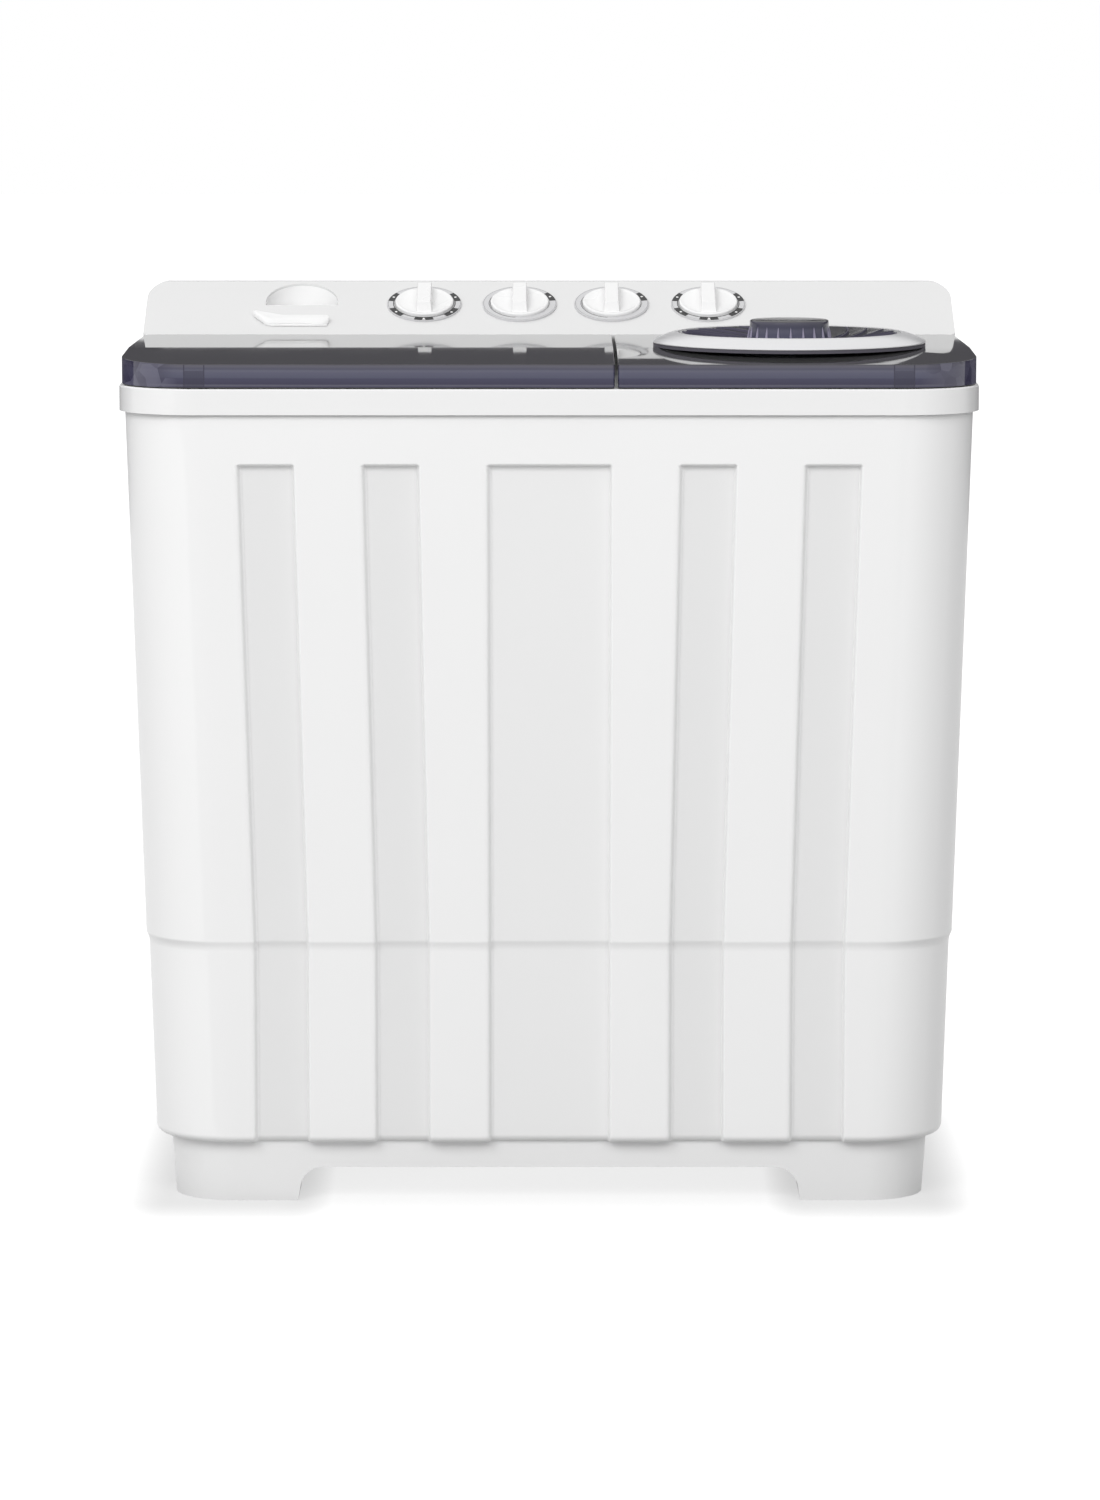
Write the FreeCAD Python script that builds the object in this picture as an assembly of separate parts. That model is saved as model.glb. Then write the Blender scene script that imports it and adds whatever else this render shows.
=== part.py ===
import FreeCAD, Part
import math
import os
from FreeCAD import Vector

os.makedirs("parts", exist_ok=True)

# Twin tub washer: an agitated wash tub on the left, a spin dryer on the right, one control panel.
# Millimetres. X is across (wash tub on -X), Y runs from front to back, Z is up from the floor.

# Overall sizes
width = 996.0             # over the top frame, the widest piece
depth = 580.0             # front to back over the top frame
height = 1047.0           # floor to the crest of the control panel

# Walls and clearances
wall = 3.0                # moulded shells
plate = 4.0               # base floor and tub floors
sheet = 2.5               # steel brackets and covers
running_gap = 0.05        # radial, between a shaft and its bearing
moving_gap = 0.5          # between a moving piece and what it passes
screw_radius = 2.0
screw_head_radius = 4.2
screw_head_height = 2.4

# Base and cabinet
base_height = 72.0
base_inset = 17.5         # base sides inside the cabinet's lower edge
base_draft = 5.0
foot_width = 157.0
foot_depth = 110.0
arch_height = 40.0
side_arch_height = 28.0
arch_draft = 6.0
arch_radius = 27.0
screw_boss_radius = 7.0
base_screw_length = 14.0
front_corner_radius = 92.0
rear_corner_radius = 56.0
side_draft = 0.031        # inward lean per millimetre of drop
front_draft = 0.013
step_above_base = 238.0
step_in = 3.0
step_rise = 10.0
lower_edge_radius = 9.0
bottom_flange = 46.0
groove_depth = 9.0
groove_width = 67.5
centre_groove_width = 145.0
groove_edge_margin = 38.0
groove_side_draft = 3.0      # each side, over three groove depths
groove_leans = (11.8, 14.9)  # how far the inner and outer pairs close in, top to step
groove_narrowing = 1.0       # each side, top to step
groove_below_frame = 57.0
service_side_margin = 130.0  # rear opening, inside the cabinet's side
service_low = 96.0
service_height = 560.0
cover_overlap = 14.0
louvre_count = 8
louvre_pitch = 22.0
louvre_half_length = 55.0
louvre_height = 7.0
louvre_above_motor = 30.0
cover_screw_length = 8.0

# Top frame, lids and panel
frame_height = 30.0
frame_overhang = 5.5
rear_wall_inset = 10.0
lip_height = 4.0
lip_width = 4.0
frame_rim_radius = 2.4
frame_boss = 5.0
frame_boss_height = 20.0
frame_screw_length = 12.0
lid_rear_height = 36.0    # lid top above the frame at the hinge side
lid_front_drop = 8.0
lid_front_zone = 183.0
lid_side_inset = 2.0
lid_rear_inset = 6.0
lid_corner_radius = 90.0
lid_small_radius = 4.0       # the corners at the other lid
lid_gap = 4.0
lid_seat_gap = 1.2
hinge_pin_radius = 2.5
hinge_ear_radius = 5.0
hinge_ear_width = 12.0
hinge_from_end = 34.0
hinge_from_rear = 6.5
hinge_swing_gap = 5.0
hinge_stem_relief = 1.0      # behind the stem, for the lid's rear edge as it swings over
hinge_boss_length = 8.0
hinge_pin_grip = 7.0         # pin in each boss
panel_depth = 148.0       # frame's rear edge to the lids' rear edge
panel_rise = 58.0
panel_run = 130.0
panel_side_inset = 5.0
panel_rear_inset = 3.0
panel_rear_radius = 50.0
panel_crest_radius = 14.0
panel_sill_radius = 2.0
panel_front_radius = 6.0

# Tubs
tub_side_gap = 33.0
tub_front_gap = 28.0
tub_rear_gap = 24.0
tub_corner_radius = 70.0
tub_floor_radius = 36.0
tub_draft = 0.012
tub_flange = 12.0
filter_width = 120.0
filter_depth = 26.0
filter_above_floor = 190.0
filter_height = 210.0
filter_slots = 8
filter_slot_pitch = 20.0
filter_slot_height = 8.0
filter_slot_margin = 16.0
filter_first_slot = 26.0
split_to_tub = 17.0
split_to_spin = 31.0
spin_side_gap = 40.0
spin_front_gap = 49.0
spin_rear_gap = 33.0
spin_mouth_margin = 18.0     # frame's round opening inside the spin tub radius
basket_above_floor = 14.0
basket_gap = 25.0
basket_wall = 1.6
basket_rim_radius = 7.0
basket_below_frame = 38.0
basket_hole_radius = 3.5
basket_hole_columns = 8
basket_hole_rows = 4

# Wash drive
motor_radius = 68.0
motor_height = 128.0
motor_shaft_radius = 7.0
motor_stand_height = 33.0
motor_neck = 8.0
motor_neck_wall = 8.0
end_bell = 5.0
casing_vents = 8
casing_vent_half = 4.0
rotor_gap = 6.0
rotor_share = 0.6            # rotor pack radius over casing radius
stand_length = 190.0
stand_width = 110.0
stand_foot = 34.0
pulley_height = 18.0
large_pulley_radius = 92.0
small_pulley_radius = 27.0
belt_width = 10.0
belt_thickness = 8.0
belt_gap = 0.3
pulley_above_motor = 12.0
drive_centres = 175.0
wash_shaft_radius = 9.0
bush_radius = 13.0
bush_length = 16.0
housing_radius = 24.0
housing_flange_radius = 70.0
housing_flange = 10.0
housing_length = 112.0    # under the tub floor
housing_nose_radius = 20.0
housing_nose = 8.0
pulsator_gap = 22.0
pulsator_above_floor = 9.0
pulsator_rise = 26.0
pulsator_fins = 6
pulsator_hub_gap = 2.0
fin_rise = 14.0
fin_half = 5.0
pulsator_screw_head = 8.0
pulsator_screw_head_height = 5.0
pulsator_screw_length = 20.0
pulsator_screw_radius = 3.0
shaft_below_crown = 8.0
seal_width = 4.0
pulley_hub_wall = 13.0
small_pulley_hub_wall = 9.0
pulley_web = 5.0
pulley_rim = 8.0

# Spin drive
spin_shaft_radius = 9.0
spring_height = 104.0
spring_radius = 16.0
spring_wire = 2.5
spring_turns = 6
spring_circle_radius = 84.0
spring_seat_height = 8.0
motor_plate_radius = 108.0
spin_motor_radius = 66.0
spin_motor_height = 128.0
brake_drum_radius = 58.0
brake_drum_height = 34.0
drum_above_motor = 24.0
drum_wall = 6.0
drum_web = 12.0
drum_hub_wall = 12.0
spin_shaft_free = 110.0   # drum top to the spin tub floor
spin_tub_flange = 6.0
bellows_hole = 30.0
brake_gap = 3.0
brake_pad_length = 36.0
brake_pad_depth = 4.0
brake_pivot_side = 22.0      # pivot beside the drum
brake_pivot_forward = 62.0   # and ahead of its axis
brake_pivot_radius = 4.0
brake_eye_radius = 9.0
brake_post_rise = 4.0        # above the drum's lower edge
brake_pin_height = 20.0
brake_arm_width = 12.0
brake_arm_height = 16.0
brake_arm_rear = 70.0        # end of the arm behind the drum's axis

# Dials and inlet
dial_positions = [-152.8, -36.1, 76.4, 194.7]
dial_rise = 77.0          # up the slope to the dial centres
dial_ring_gap = 0.8         # knob to ring
dial_ring_width = 8.8
dial_ring_height = 2.5
knob_radius = 35.7
knob_height = 6.0
handle_width = 19.0
handle_length = 61.0
handle_height = 10.0
control_shaft_radius = 3.0
inlet_x = -303.0
inlet_setback = 70.0      # panel front to the straight edge of the filling mouth
inlet_radius = 44.0
inlet_straight = 9.0
inlet_wall = 2.0
lever_rise = 35.0
lever_travel = 22.0
lever_thickness = 7.0
lever_stem_width = 8.0
lever_stem_depth = 4.0
flap_length = 24.0
duct_setback = 38.0
duct_width = 22.0
shaft_hole_margin = 1.5
shaft_well = 12.0            # inside the panel, in the timer or switch
timer_size = (60.0, 48.0, 30.0)   # across, up the slope, into the panel
switch_size = (40.0, 36.0, 24.0)
spout_half = 22.0
spout_height = 13.0
spout_reach = 14.0

# Vent on the spin lid
vent_margin = 14.0        # inside the spin tub radius
vent_ring_width = 30.0
vent_ring_rise = 15.5
vent_hub_radius = 50.0
vent_hub_top_radius = 45.0
vent_hub_rise = 31.0
vent_flutes = 20
vent_ribs = 24
vent_hole_radius = 96.0
vent_stem_radius = 9.0
vent_edge_height = 1.6
dish_wall = 2.5
dish_flat = 12.0             # around the hub
dish_slot_start = 16.0       # from the hub
dish_slot_end = 4.0          # inside the lid's hole
dish_slot_width = 4.0
shutter_slot_width = 6.0
shutter_margin = 2.0
flute_radius = 5.0
flute_top_radius = 3.0
flute_offset = 2.0           # outside the hub
flute_below_top = 4.0

# Drain
drain_hole_radius = 17.0
drain_behind_spin = 70.0     # drain behind the spin axis
drain_guard_overlap = 9.0
valve_radius = 30.0
valve_seat_height = 30.0
valve_seat_lap = 2.0
valve_stem_radius = 3.5
valve_port_radius = 11.0
guard_height = 12.0
guard_bar_pitch = 8.0
guard_slot_half = 2.0
guard_slot_length = 30.0
plunger_travel = 12.0
plunger_headroom = 20.0    # above the lifted plunger
hose_radius = 16.0
hose_wall = 2.5
hose_bend = 34.0
outlet_height = 118.0
outlet_room = 10.0        # around the outlet, for the drain hose's socket
outlet_straight = 48.0       # inside the rear wall

# Places worked out from the sizes above
half_width = width / 2
half_depth = depth / 2
lid_top = height - panel_rise
frame_top = lid_top - lid_rear_height
frame_under = frame_top - wall
frame_bottom = frame_top - frame_height
lid_rear = half_depth - panel_depth
lid_front = -half_depth + lid_side_inset
lid_bottom = frame_top + lid_seat_gap
cabinet_side = half_width - frame_overhang
cabinet_front = -half_depth + frame_overhang
cabinet_rear = half_depth - rear_wall_inset
step_z = base_height + step_above_base
groove_top = frame_bottom - groove_below_frame

spin_radius = (lid_rear - spin_rear_gap + half_depth - spin_front_gap) / 2
spin_x = half_width - spin_side_gap - spin_radius
spin_y = -half_depth + spin_front_gap + spin_radius
spin_mouth_radius = spin_radius - spin_mouth_margin
split_x = spin_x - spin_radius - split_to_spin

base_side_top = cabinet_side - side_draft * (frame_under - base_height) - step_in - base_inset
base_front_top = cabinet_front + front_draft * (frame_under - base_height) + step_in + base_inset
base_rear_top = cabinet_rear - base_inset
base_corner = front_corner_radius - base_inset
base_floor = arch_height + plate
motor_bottom = base_floor + motor_stand_height
motor_top = motor_bottom + motor_height
pulley_z = motor_top + pulley_above_motor
housing_bottom = pulley_z + pulley_height + moving_gap + plate
tub_under = housing_bottom + housing_length
tub_floor = tub_under + plate
tub_left = -half_width + tub_side_gap
tub_right = split_x - split_to_tub
tub_front = -half_depth + tub_front_gap
tub_rear = lid_rear - tub_rear_gap
wash_x = (tub_left + tub_right) / 2
wash_y = (tub_front + tub_rear) / 2
motor_x = wash_x + drive_centres
pulsator_radius = min(tub_right - tub_left, tub_rear - tub_front) / 2 - pulsator_gap
pulsator_under = tub_floor + pulsator_above_floor

pulsator_crown = pulsator_under + pulsator_rise
pulsator_hub = housing_nose_radius + seal_width + pulsator_hub_gap
pulsator_shaft_top = pulsator_crown - shaft_below_crown

spring_top = base_floor + spring_height
spring_seat_radius = spring_radius - spring_wire - moving_gap
spin_motor_bottom = spring_top + sheet
spin_motor_top = spin_motor_bottom + spin_motor_height
drum_bottom = spin_motor_top + drum_above_motor
drum_top = drum_bottom + brake_drum_height
spin_floor = drum_top + spin_shaft_free
basket_radius = spin_radius - basket_gap
basket_bottom = spin_floor + plate + basket_above_floor
basket_top = frame_top - basket_below_frame
brake_pivot_x = spin_x + brake_drum_radius + brake_pivot_side
brake_pivot_y = spin_y - brake_pivot_forward
brake_post_top = drum_bottom + brake_post_rise

hinge_y = lid_rear - hinge_from_rear
hinge_z = lid_top - wall - moving_gap - hinge_ear_radius
panel_front = lid_rear + hinge_swing_gap
panel_rear = half_depth - panel_rear_inset
panel_side = half_width - panel_side_inset
panel_angle = math.degrees(math.atan2(panel_rise, panel_run))
spout_low = frame_top + lip_height + 1.0
spout_high = spout_low + spout_height
lever_start = inlet_x - lever_travel / 2
lever_y = panel_front + lever_rise * math.cos(math.radians(panel_angle))
flap_reach = lever_y + flap_length
duct_front = panel_front + duct_setback

drain_x = (tub_right - tub_draft * (frame_under - tub_floor) - tub_floor_radius
           - drain_hole_radius - drain_guard_overlap - moving_gap)
drain_y = spin_y + drain_behind_spin
valve_height = valve_seat_height + plunger_travel + plunger_headroom
valve_floor = tub_under - valve_height
seat_z = valve_floor + valve_seat_height
hose_z = valve_floor + wall + hose_radius - hose_wall / 2
outlet_start = cabinet_rear - outlet_straight
vent_radius = spin_radius - vent_margin
vent_inner = vent_radius - vent_ring_width
dial_ring_radius = knob_radius + dial_ring_gap + dial_ring_width
vent_top = lid_top + vent_ring_rise + 1.0
hub_top = lid_top + vent_hub_rise
hub_bottom = lid_top + dish_wall + moving_gap
shutter_top = lid_top - moving_gap
shutter_radius = vent_hole_radius - shutter_margin
rearward = Vector(0, 1, 0)


# ---------------------------------------------------------------- shared shape functions

def rounded_wire(points, radii, closed=True):
    """Straight runs through the points, each corner rounded by a tangent arc of its radius."""
    count = len(points)
    corners = []
    for i, point in enumerate(points):
        end_point = not closed and i in (0, count - 1)
        if end_point or radii[i] == 0:
            corners.append((point, None, point))
            continue
        back = (points[i - 1] - point).normalize()
        ahead = (points[(i + 1) % count] - point).normalize()
        half_turn = back.getAngle(ahead) / 2
        reach = radii[i] / math.tan(half_turn)
        inward = (back + ahead).normalize()
        middle = point + inward * (radii[i] / math.sin(half_turn) - radii[i])
        corners.append((point + back * reach, middle, point + ahead * reach))
    edges = []
    for i, (start, middle, end) in enumerate(corners):
        if middle is not None:
            edges.append(Part.Arc(start, middle, end).toShape())
        if closed or i < count - 1:
            following = corners[(i + 1) % count][0]
            if end.distanceToPoint(following) > 1e-6:
                edges.append(Part.LineSegment(end, following).toShape())
    return Part.Wire(edges)


def plan(x0, x1, y0, y1, front_radius, rear_radius, z):
    """Rectangle seen from above, with round front and rear corners."""
    corners = [Vector(x0, y0, z), Vector(x1, y0, z), Vector(x1, y1, z), Vector(x0, y1, z)]
    return rounded_wire(corners, [front_radius, front_radius, rear_radius, rear_radius])


def block(x0, x1, y0, y1, z0, z1, front_radius=0.0, rear_radius=0.0):
    outline = plan(x0, x1, y0, y1, front_radius, rear_radius, z0)
    return Part.Face(outline).extrude(Vector(0, 0, z1 - z0))


def skin(sections):
    """Solid through matching outlines: flat between straight edges, ruled between round ones."""
    faces = [Part.Face(sections[0]), Part.Face(sections[-1])]
    for lower, upper in zip(sections, sections[1:]):
        for low, high in zip(lower.OrderedEdges, upper.OrderedEdges):
            if isinstance(low.Curve, Part.Line):
                ends = [low.Vertexes[0].Point, low.Vertexes[1].Point]
                tops = [high.Vertexes[0].Point, high.Vertexes[1].Point]
                if ends[0].distanceToPoint(tops[0]) > ends[0].distanceToPoint(tops[1]):
                    tops.reverse()
                corners = [ends[0], ends[1], tops[1], tops[0], ends[0]]
                faces.append(Part.Face(Part.makePolygon(corners)))
            else:
                faces.append(Part.makeRuledSurface(low, high))
    shell = Part.Shell(faces)
    shell.sewShape()
    solid = Part.Solid(shell)
    if solid.Volume < 0:
        solid.reverse()
    return solid


def rod(x, y, z0, z1, radius):
    return Part.makeCylinder(radius, z1 - z0, Vector(x, y, z0))


def ring(x, y, z0, z1, outer, inner):
    return rod(x, y, z0, z1, outer).cut(rod(x, y, z0, z1, inner))


def cone(x, y, z0, z1, radius0, radius1):
    return Part.makeCone(radius0, radius1, z1 - z0, Vector(x, y, z0))


def turned(x, y, outline):
    """Solid turned about a vertical axis from (radius, height) points."""
    points = [Vector(x + radius, y, z) for radius, z in outline]
    face = Part.Face(Part.makePolygon(points + points[:1]))
    return face.revolve(Vector(x, y, 0), Vector(0, 0, 1), 360)


def side_prism(points, radii, x0, x1):
    """(y, z) outline drawn out along X."""
    wire = rounded_wire([Vector(x0, y, z) for y, z in points], radii)
    return Part.Face(wire).extrude(Vector(x1 - x0, 0, 0))


def front_prism(points, radii, y0, y1):
    """(x, z) outline drawn out along Y."""
    wire = rounded_wire([Vector(x, y0, z) for x, z in points], radii)
    return Part.Face(wire).extrude(Vector(0, y1 - y0, 0))


def spun_copies(shape, x, y, count, start=0.0):
    copies = []
    for i in range(count):
        copy = shape.copy()
        copy.rotate(Vector(x, y, 0), Vector(0, 0, 1), start + 360.0 * i / count)
        copies.append(copy)
    return copies


def joined(shapes):
    solid = shapes[0].multiFuse(shapes[1:])
    return solid.removeSplitter()


def pipe(points, bend, radius):
    """Round bar along straight runs and tangent bends."""
    path = rounded_wire(points, [bend] * len(points), closed=False)
    direction = (points[1] - points[0]).normalize()
    start = Part.Wire(Part.makeCircle(radius, points[0], direction))
    return path.makePipeShell([start], True, False)


def screw(x, y, z, length, axis=Vector(0, 0, 1)):
    """Pan head screw: the underside of its head at the given place, the head along the axis."""
    place = Vector(x, y, z)
    head = Part.makeCylinder(screw_head_radius, screw_head_height, place, axis)
    shank = Part.makeCylinder(screw_radius, length, place, axis * -1)
    return head.fuse(shank).removeSplitter()


def screw_hole(x, y, z, length, axis=Vector(0, 0, 1)):
    place = Vector(x, y, z) + axis * 1.0
    return Part.makeCylinder(screw_radius, length + 1.0, place, axis * -1)


def on_panel(shape, x, rise):
    """Put a shape drawn about the origin on the slope: its +Z along the slope's normal."""
    placed = shape.copy()
    placed.rotate(Vector(0, 0, 0), Vector(1, 0, 0), panel_angle)
    angle = math.radians(panel_angle)
    y = panel_front + rise * math.cos(angle)
    z = lid_top + rise * math.sin(angle)
    placed.translate(Vector(x, y, z))
    return placed


def save(name, *solids):
    shape = solids[0] if len(solids) == 1 else Part.makeCompound(list(solids))
    count = len(shape.Solids)
    if not shape.isValid() or count < 1:
        raise RuntimeError(name + " is not a sound solid")
    shape.exportStep("parts/" + name + ".step")
    print(name, count, round(shape.Volume / 1000.0, 1))


# ---------------------------------------------------------------- base

def base_section(z, inset):
    drawn_in = inset + base_draft * (base_height - z) / base_height
    side = base_side_top - drawn_in
    radius = base_corner - drawn_in
    return plan(-side, side, base_front_top + drawn_in, base_rear_top - drawn_in, radius, radius, z)


def arch_outline(half_span, top):
    points = [(-half_span - arch_draft, -1.0), (-half_span, top), (half_span, top),
              (half_span + arch_draft, -1.0)]
    return points, [0.0, arch_radius, arch_radius, 0.0]


def make_base():
    shell = skin([base_section(0.0, 0.0), base_section(base_height, 0.0)])
    shell = shell.cut(skin([base_section(base_floor, plate), base_section(base_height + 1.0, plate)]))
    half_span = base_side_top - foot_width
    points, radii = arch_outline(half_span, arch_height)
    shell = shell.cut(front_prism(points, radii, -half_depth, half_depth))
    centre_y = (base_front_top + base_rear_top) / 2
    side_span = (base_rear_top - base_front_top) / 2 - foot_depth
    points, radii = arch_outline(side_span, side_arch_height)
    points = [(y + centre_y, z) for y, z in points]
    shell = shell.cut(side_prism(points, [0.0, arch_radius / 2, arch_radius / 2, 0.0],
                                 -half_width, half_width))
    pocket_outer = skin([base_section(plate, plate), base_section(base_floor + 1.0, plate)])
    for side in (-1, 1):
        x_near = side * (half_span + arch_draft + plate)
        x_far = side * half_width
        for y_near, y_far in ((centre_y - side_span - arch_draft - plate, -half_depth),
                              (centre_y + side_span + arch_draft + plate, half_depth)):
            foot = block(min(x_near, x_far), max(x_near, x_far), min(y_near, y_far),
                         max(y_near, y_far), plate, base_floor + 1.0)
            shell = shell.cut(foot.common(pocket_outer))
    for x, y in base_screw_places():
        boss = rod(x, y, base_floor - plate, base_height, screw_boss_radius)
        shell = shell.fuse(boss)
        shell = shell.cut(screw_hole(x, y, base_height, base_screw_length))
    for x, y in stand_bolt_places():
        shell = shell.cut(screw_hole(x, y, base_floor, plate + 1.0))
    for x, y in spring_places():
        shell = shell.fuse(rod(x, y, base_floor, base_floor + spring_seat_height, spring_seat_radius))
    return shell.removeSplitter()


def base_screw_places():
    side = base_side_top - screw_boss_radius - plate / 2
    front = base_front_top + screw_boss_radius + plate / 2
    rear = base_rear_top - screw_boss_radius - plate / 2
    along = base_side_top - base_corner
    return [(x, y) for x in (-along, along) for y in (front, rear)] + [(-side, 0.0), (side, 0.0)]


def stand_bolt_places():
    reach_x = stand_length / 2 - 2 * screw_head_radius
    reach_y = stand_width / 2 - 2 * screw_head_radius
    return [(motor_x + x, wash_y + y) for x in (-reach_x, reach_x) for y in (-reach_y, reach_y)]


def spring_places():
    places = []
    for i in range(3):
        angle = math.radians(90 + 120 * i)
        places.append((spin_x + spring_circle_radius * math.cos(angle),
                       spin_y + spring_circle_radius * math.sin(angle)))
    return places


# ---------------------------------------------------------------- cabinet

def body_stations(first_z, radius, inset):
    """Heights, insets and whether below the step, from the rounded lower edge to the top."""
    stations = []
    for turn in (0, 30, 60, 90):
        angle = math.radians(turn)
        z = first_z + radius * (1 - math.cos(angle))
        stations.append((z, inset + radius * (1 - math.sin(angle)), True))
    stations.append((step_z - step_rise / 2, inset, True))
    stations.append((step_z + step_rise / 2, inset, False))
    stations.append((frame_under, inset, False))
    return stations


def body_side(z, below_step):
    return cabinet_side - side_draft * (frame_under - z) - (step_in if below_step else 0.0)


def body_front(z, below_step):
    return cabinet_front + front_draft * (frame_under - z) + (step_in if below_step else 0.0)


def body_section(z, inset, below_step):
    side = body_side(z, below_step) - inset
    front = body_front(z, below_step) + inset
    return plan(-side, side, front, cabinet_rear - inset, front_corner_radius - inset,
                rear_corner_radius - inset, z)


def groove_spans():
    """Left and right edges of each groove at its top, and how far they lean in by the step."""
    flat = body_side(groove_top, False) - front_corner_radius
    centre = centre_groove_width / 2
    rib = (flat - centre - 2 * groove_width - groove_edge_margin) / 2
    spans = [(-centre, centre, 0.0)]
    start = centre + rib
    for lean in groove_leans:
        spans.append((start, start + groove_width, lean))
        spans.append((-start - groove_width, -start, -lean))
        start += groove_width + rib
    return spans


def groove_cutter(left, right, lean, grow):
    """What the groove takes out of the front, or its back face when grown by the wall."""
    sections = []
    stations = body_stations(base_height, lower_edge_radius, 0.0)
    stations[-1] = (groove_top, 0.0, False)
    for z, inset, below_step in stations:
        fallen = min(1.0, (groove_top - z) / (groove_top - step_z))
        x0 = left - (lean - groove_narrowing) * fallen - grow
        x1 = right - (lean + groove_narrowing) * fallen + grow
        face = body_front(z, below_step) + inset
        floor = face + groove_depth + grow
        outside = face - 2 * groove_depth
        drawn = groove_side_draft
        top = z + grow if z == groove_top else z
        points = [Vector(x0 - drawn, outside, top), Vector(x1 + drawn, outside, top),
                  Vector(x1 - drawn, floor, top), Vector(x0 + drawn, floor, top)]
        sections.append(Part.makePolygon(points + points[:1]))
    return skin(sections)


def make_cabinet():
    outer = skin([body_section(*s) for s in body_stations(base_height, lower_edge_radius, 0.0)])
    hollow = body_stations(base_height + wall, lower_edge_radius - wall, wall)
    hollow.append((frame_under + 1.0, wall, False))
    inner = skin([body_section(*s) for s in hollow])
    outer = outer.cut([screw_hole(x, cabinet_rear, z, 2 * wall, rearward)
                       for x, z in cover_screw_places()])
    for left, right, lean in groove_spans():
        outer = outer.cut(groove_cutter(left, right, lean, 0.0))
        inner = inner.cut(groove_cutter(left, right, lean, wall))
    shell = outer.cut(inner)
    side = body_side(base_height, True) - bottom_flange
    front = body_front(base_height, True) + bottom_flange
    rear = cabinet_rear - bottom_flange
    radius = front_corner_radius - bottom_flange
    shell = shell.cut(block(-side, side, front, rear, base_height - 1.0, base_height + 2 * wall,
                            radius, radius))
    x0, x1, z0, z1 = service_opening(0.0)
    shell = shell.cut(block(x0, x1, cabinet_rear - 2 * wall, cabinet_rear + 1.0, z0, z1))
    boss_side = body_side(frame_under - frame_boss_height, False) - wall / 2
    bosses = []
    for x, y in frame_screw_places():
        near = min(x - frame_boss, boss_side) if x > 0 else -boss_side
        far = boss_side if x > 0 else x + frame_boss
        bosses.append(block(near, far, y - frame_boss, y + frame_boss,
                            frame_under - frame_boss_height, frame_under))
    shell = shell.fuse(bosses)
    holes = [screw_hole(x, y, base_height + wall, 2 * wall) for x, y in base_screw_places()]
    holes += [screw_hole(x, y, frame_under, frame_screw_length) for x, y in frame_screw_places()]
    return shell.cut(holes)


def service_opening(grow):
    side = body_side(base_height, True) - service_side_margin + grow
    return -side, side, service_low - grow, service_low + service_height + grow


def cover_screw_places():
    x0, x1, z0, z1 = service_opening(cover_overlap / 2)
    return [(x, z) for x in (x0, 0.0, x1) for z in (z0, z1)] + [(x0, (z0 + z1) / 2),
                                                               (x1, (z0 + z1) / 2)]


def make_rear_cover():
    x0, x1, z0, z1 = service_opening(cover_overlap)
    cover = block(x0, x1, cabinet_rear, cabinet_rear + sheet, z0, z1)
    for centre in (motor_x, spin_x):
        for i in range(louvre_count):
            z = motor_bottom + louvre_above_motor + louvre_pitch * i
            louvre = block(centre - louvre_half_length, centre + louvre_half_length,
                           cabinet_rear - 1.0, cabinet_rear + sheet + 1.0, z, z + louvre_height)
            cover = cover.cut(louvre)
    hole = Part.makeCylinder(hose_radius + outlet_room, 4 * sheet,
                             Vector(drain_x, cabinet_rear - sheet, outlet_height), rearward)
    cover = cover.cut(hole)
    for x, z in cover_screw_places():
        cover = cover.cut(screw_hole(x, cabinet_rear + sheet, z, 2 * wall, rearward))
    return cover


# ---------------------------------------------------------------- top frame

def wash_opening(grow, z0, z1):
    return block(tub_left - grow, tub_right + grow, tub_front - grow, tub_rear + grow, z0, z1,
                 tub_corner_radius + grow, tub_corner_radius + grow)


def hinge_places(x0, x1):
    return [x0 + hinge_from_end, x1 - hinge_from_end]


def lid_spans():
    """Left and right ends of the wash lid and of the spin lid."""
    outer = half_width - lid_side_inset
    return (-outer, split_x - lid_gap / 2), (split_x + lid_gap / 2, outer)


def hinge_ear(x):
    """Upright with a round head that the lid's pin turns in."""
    half = hinge_ear_width / 2
    stem = block(x - half, x + half, hinge_y - hinge_ear_radius,
                 hinge_y + hinge_ear_radius - hinge_stem_relief, frame_under, hinge_z)
    head = Part.makeCylinder(hinge_ear_radius, hinge_ear_width, Vector(x - half, hinge_y, hinge_z),
                             Vector(1, 0, 0))
    bore = Part.makeCylinder(hinge_pin_radius + running_gap, 2 * hinge_ear_width,
                             Vector(x - hinge_ear_width, hinge_y, hinge_z), Vector(1, 0, 0))
    return stem.fuse(head).cut(bore)


def frame_screw_places():
    side = (half_width - tub_side_gap + tub_flange + cabinet_side - wall) / 2
    return [(x, y) for x in (-side, side) for y in (-half_depth + front_corner_radius, 0.0)]


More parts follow.
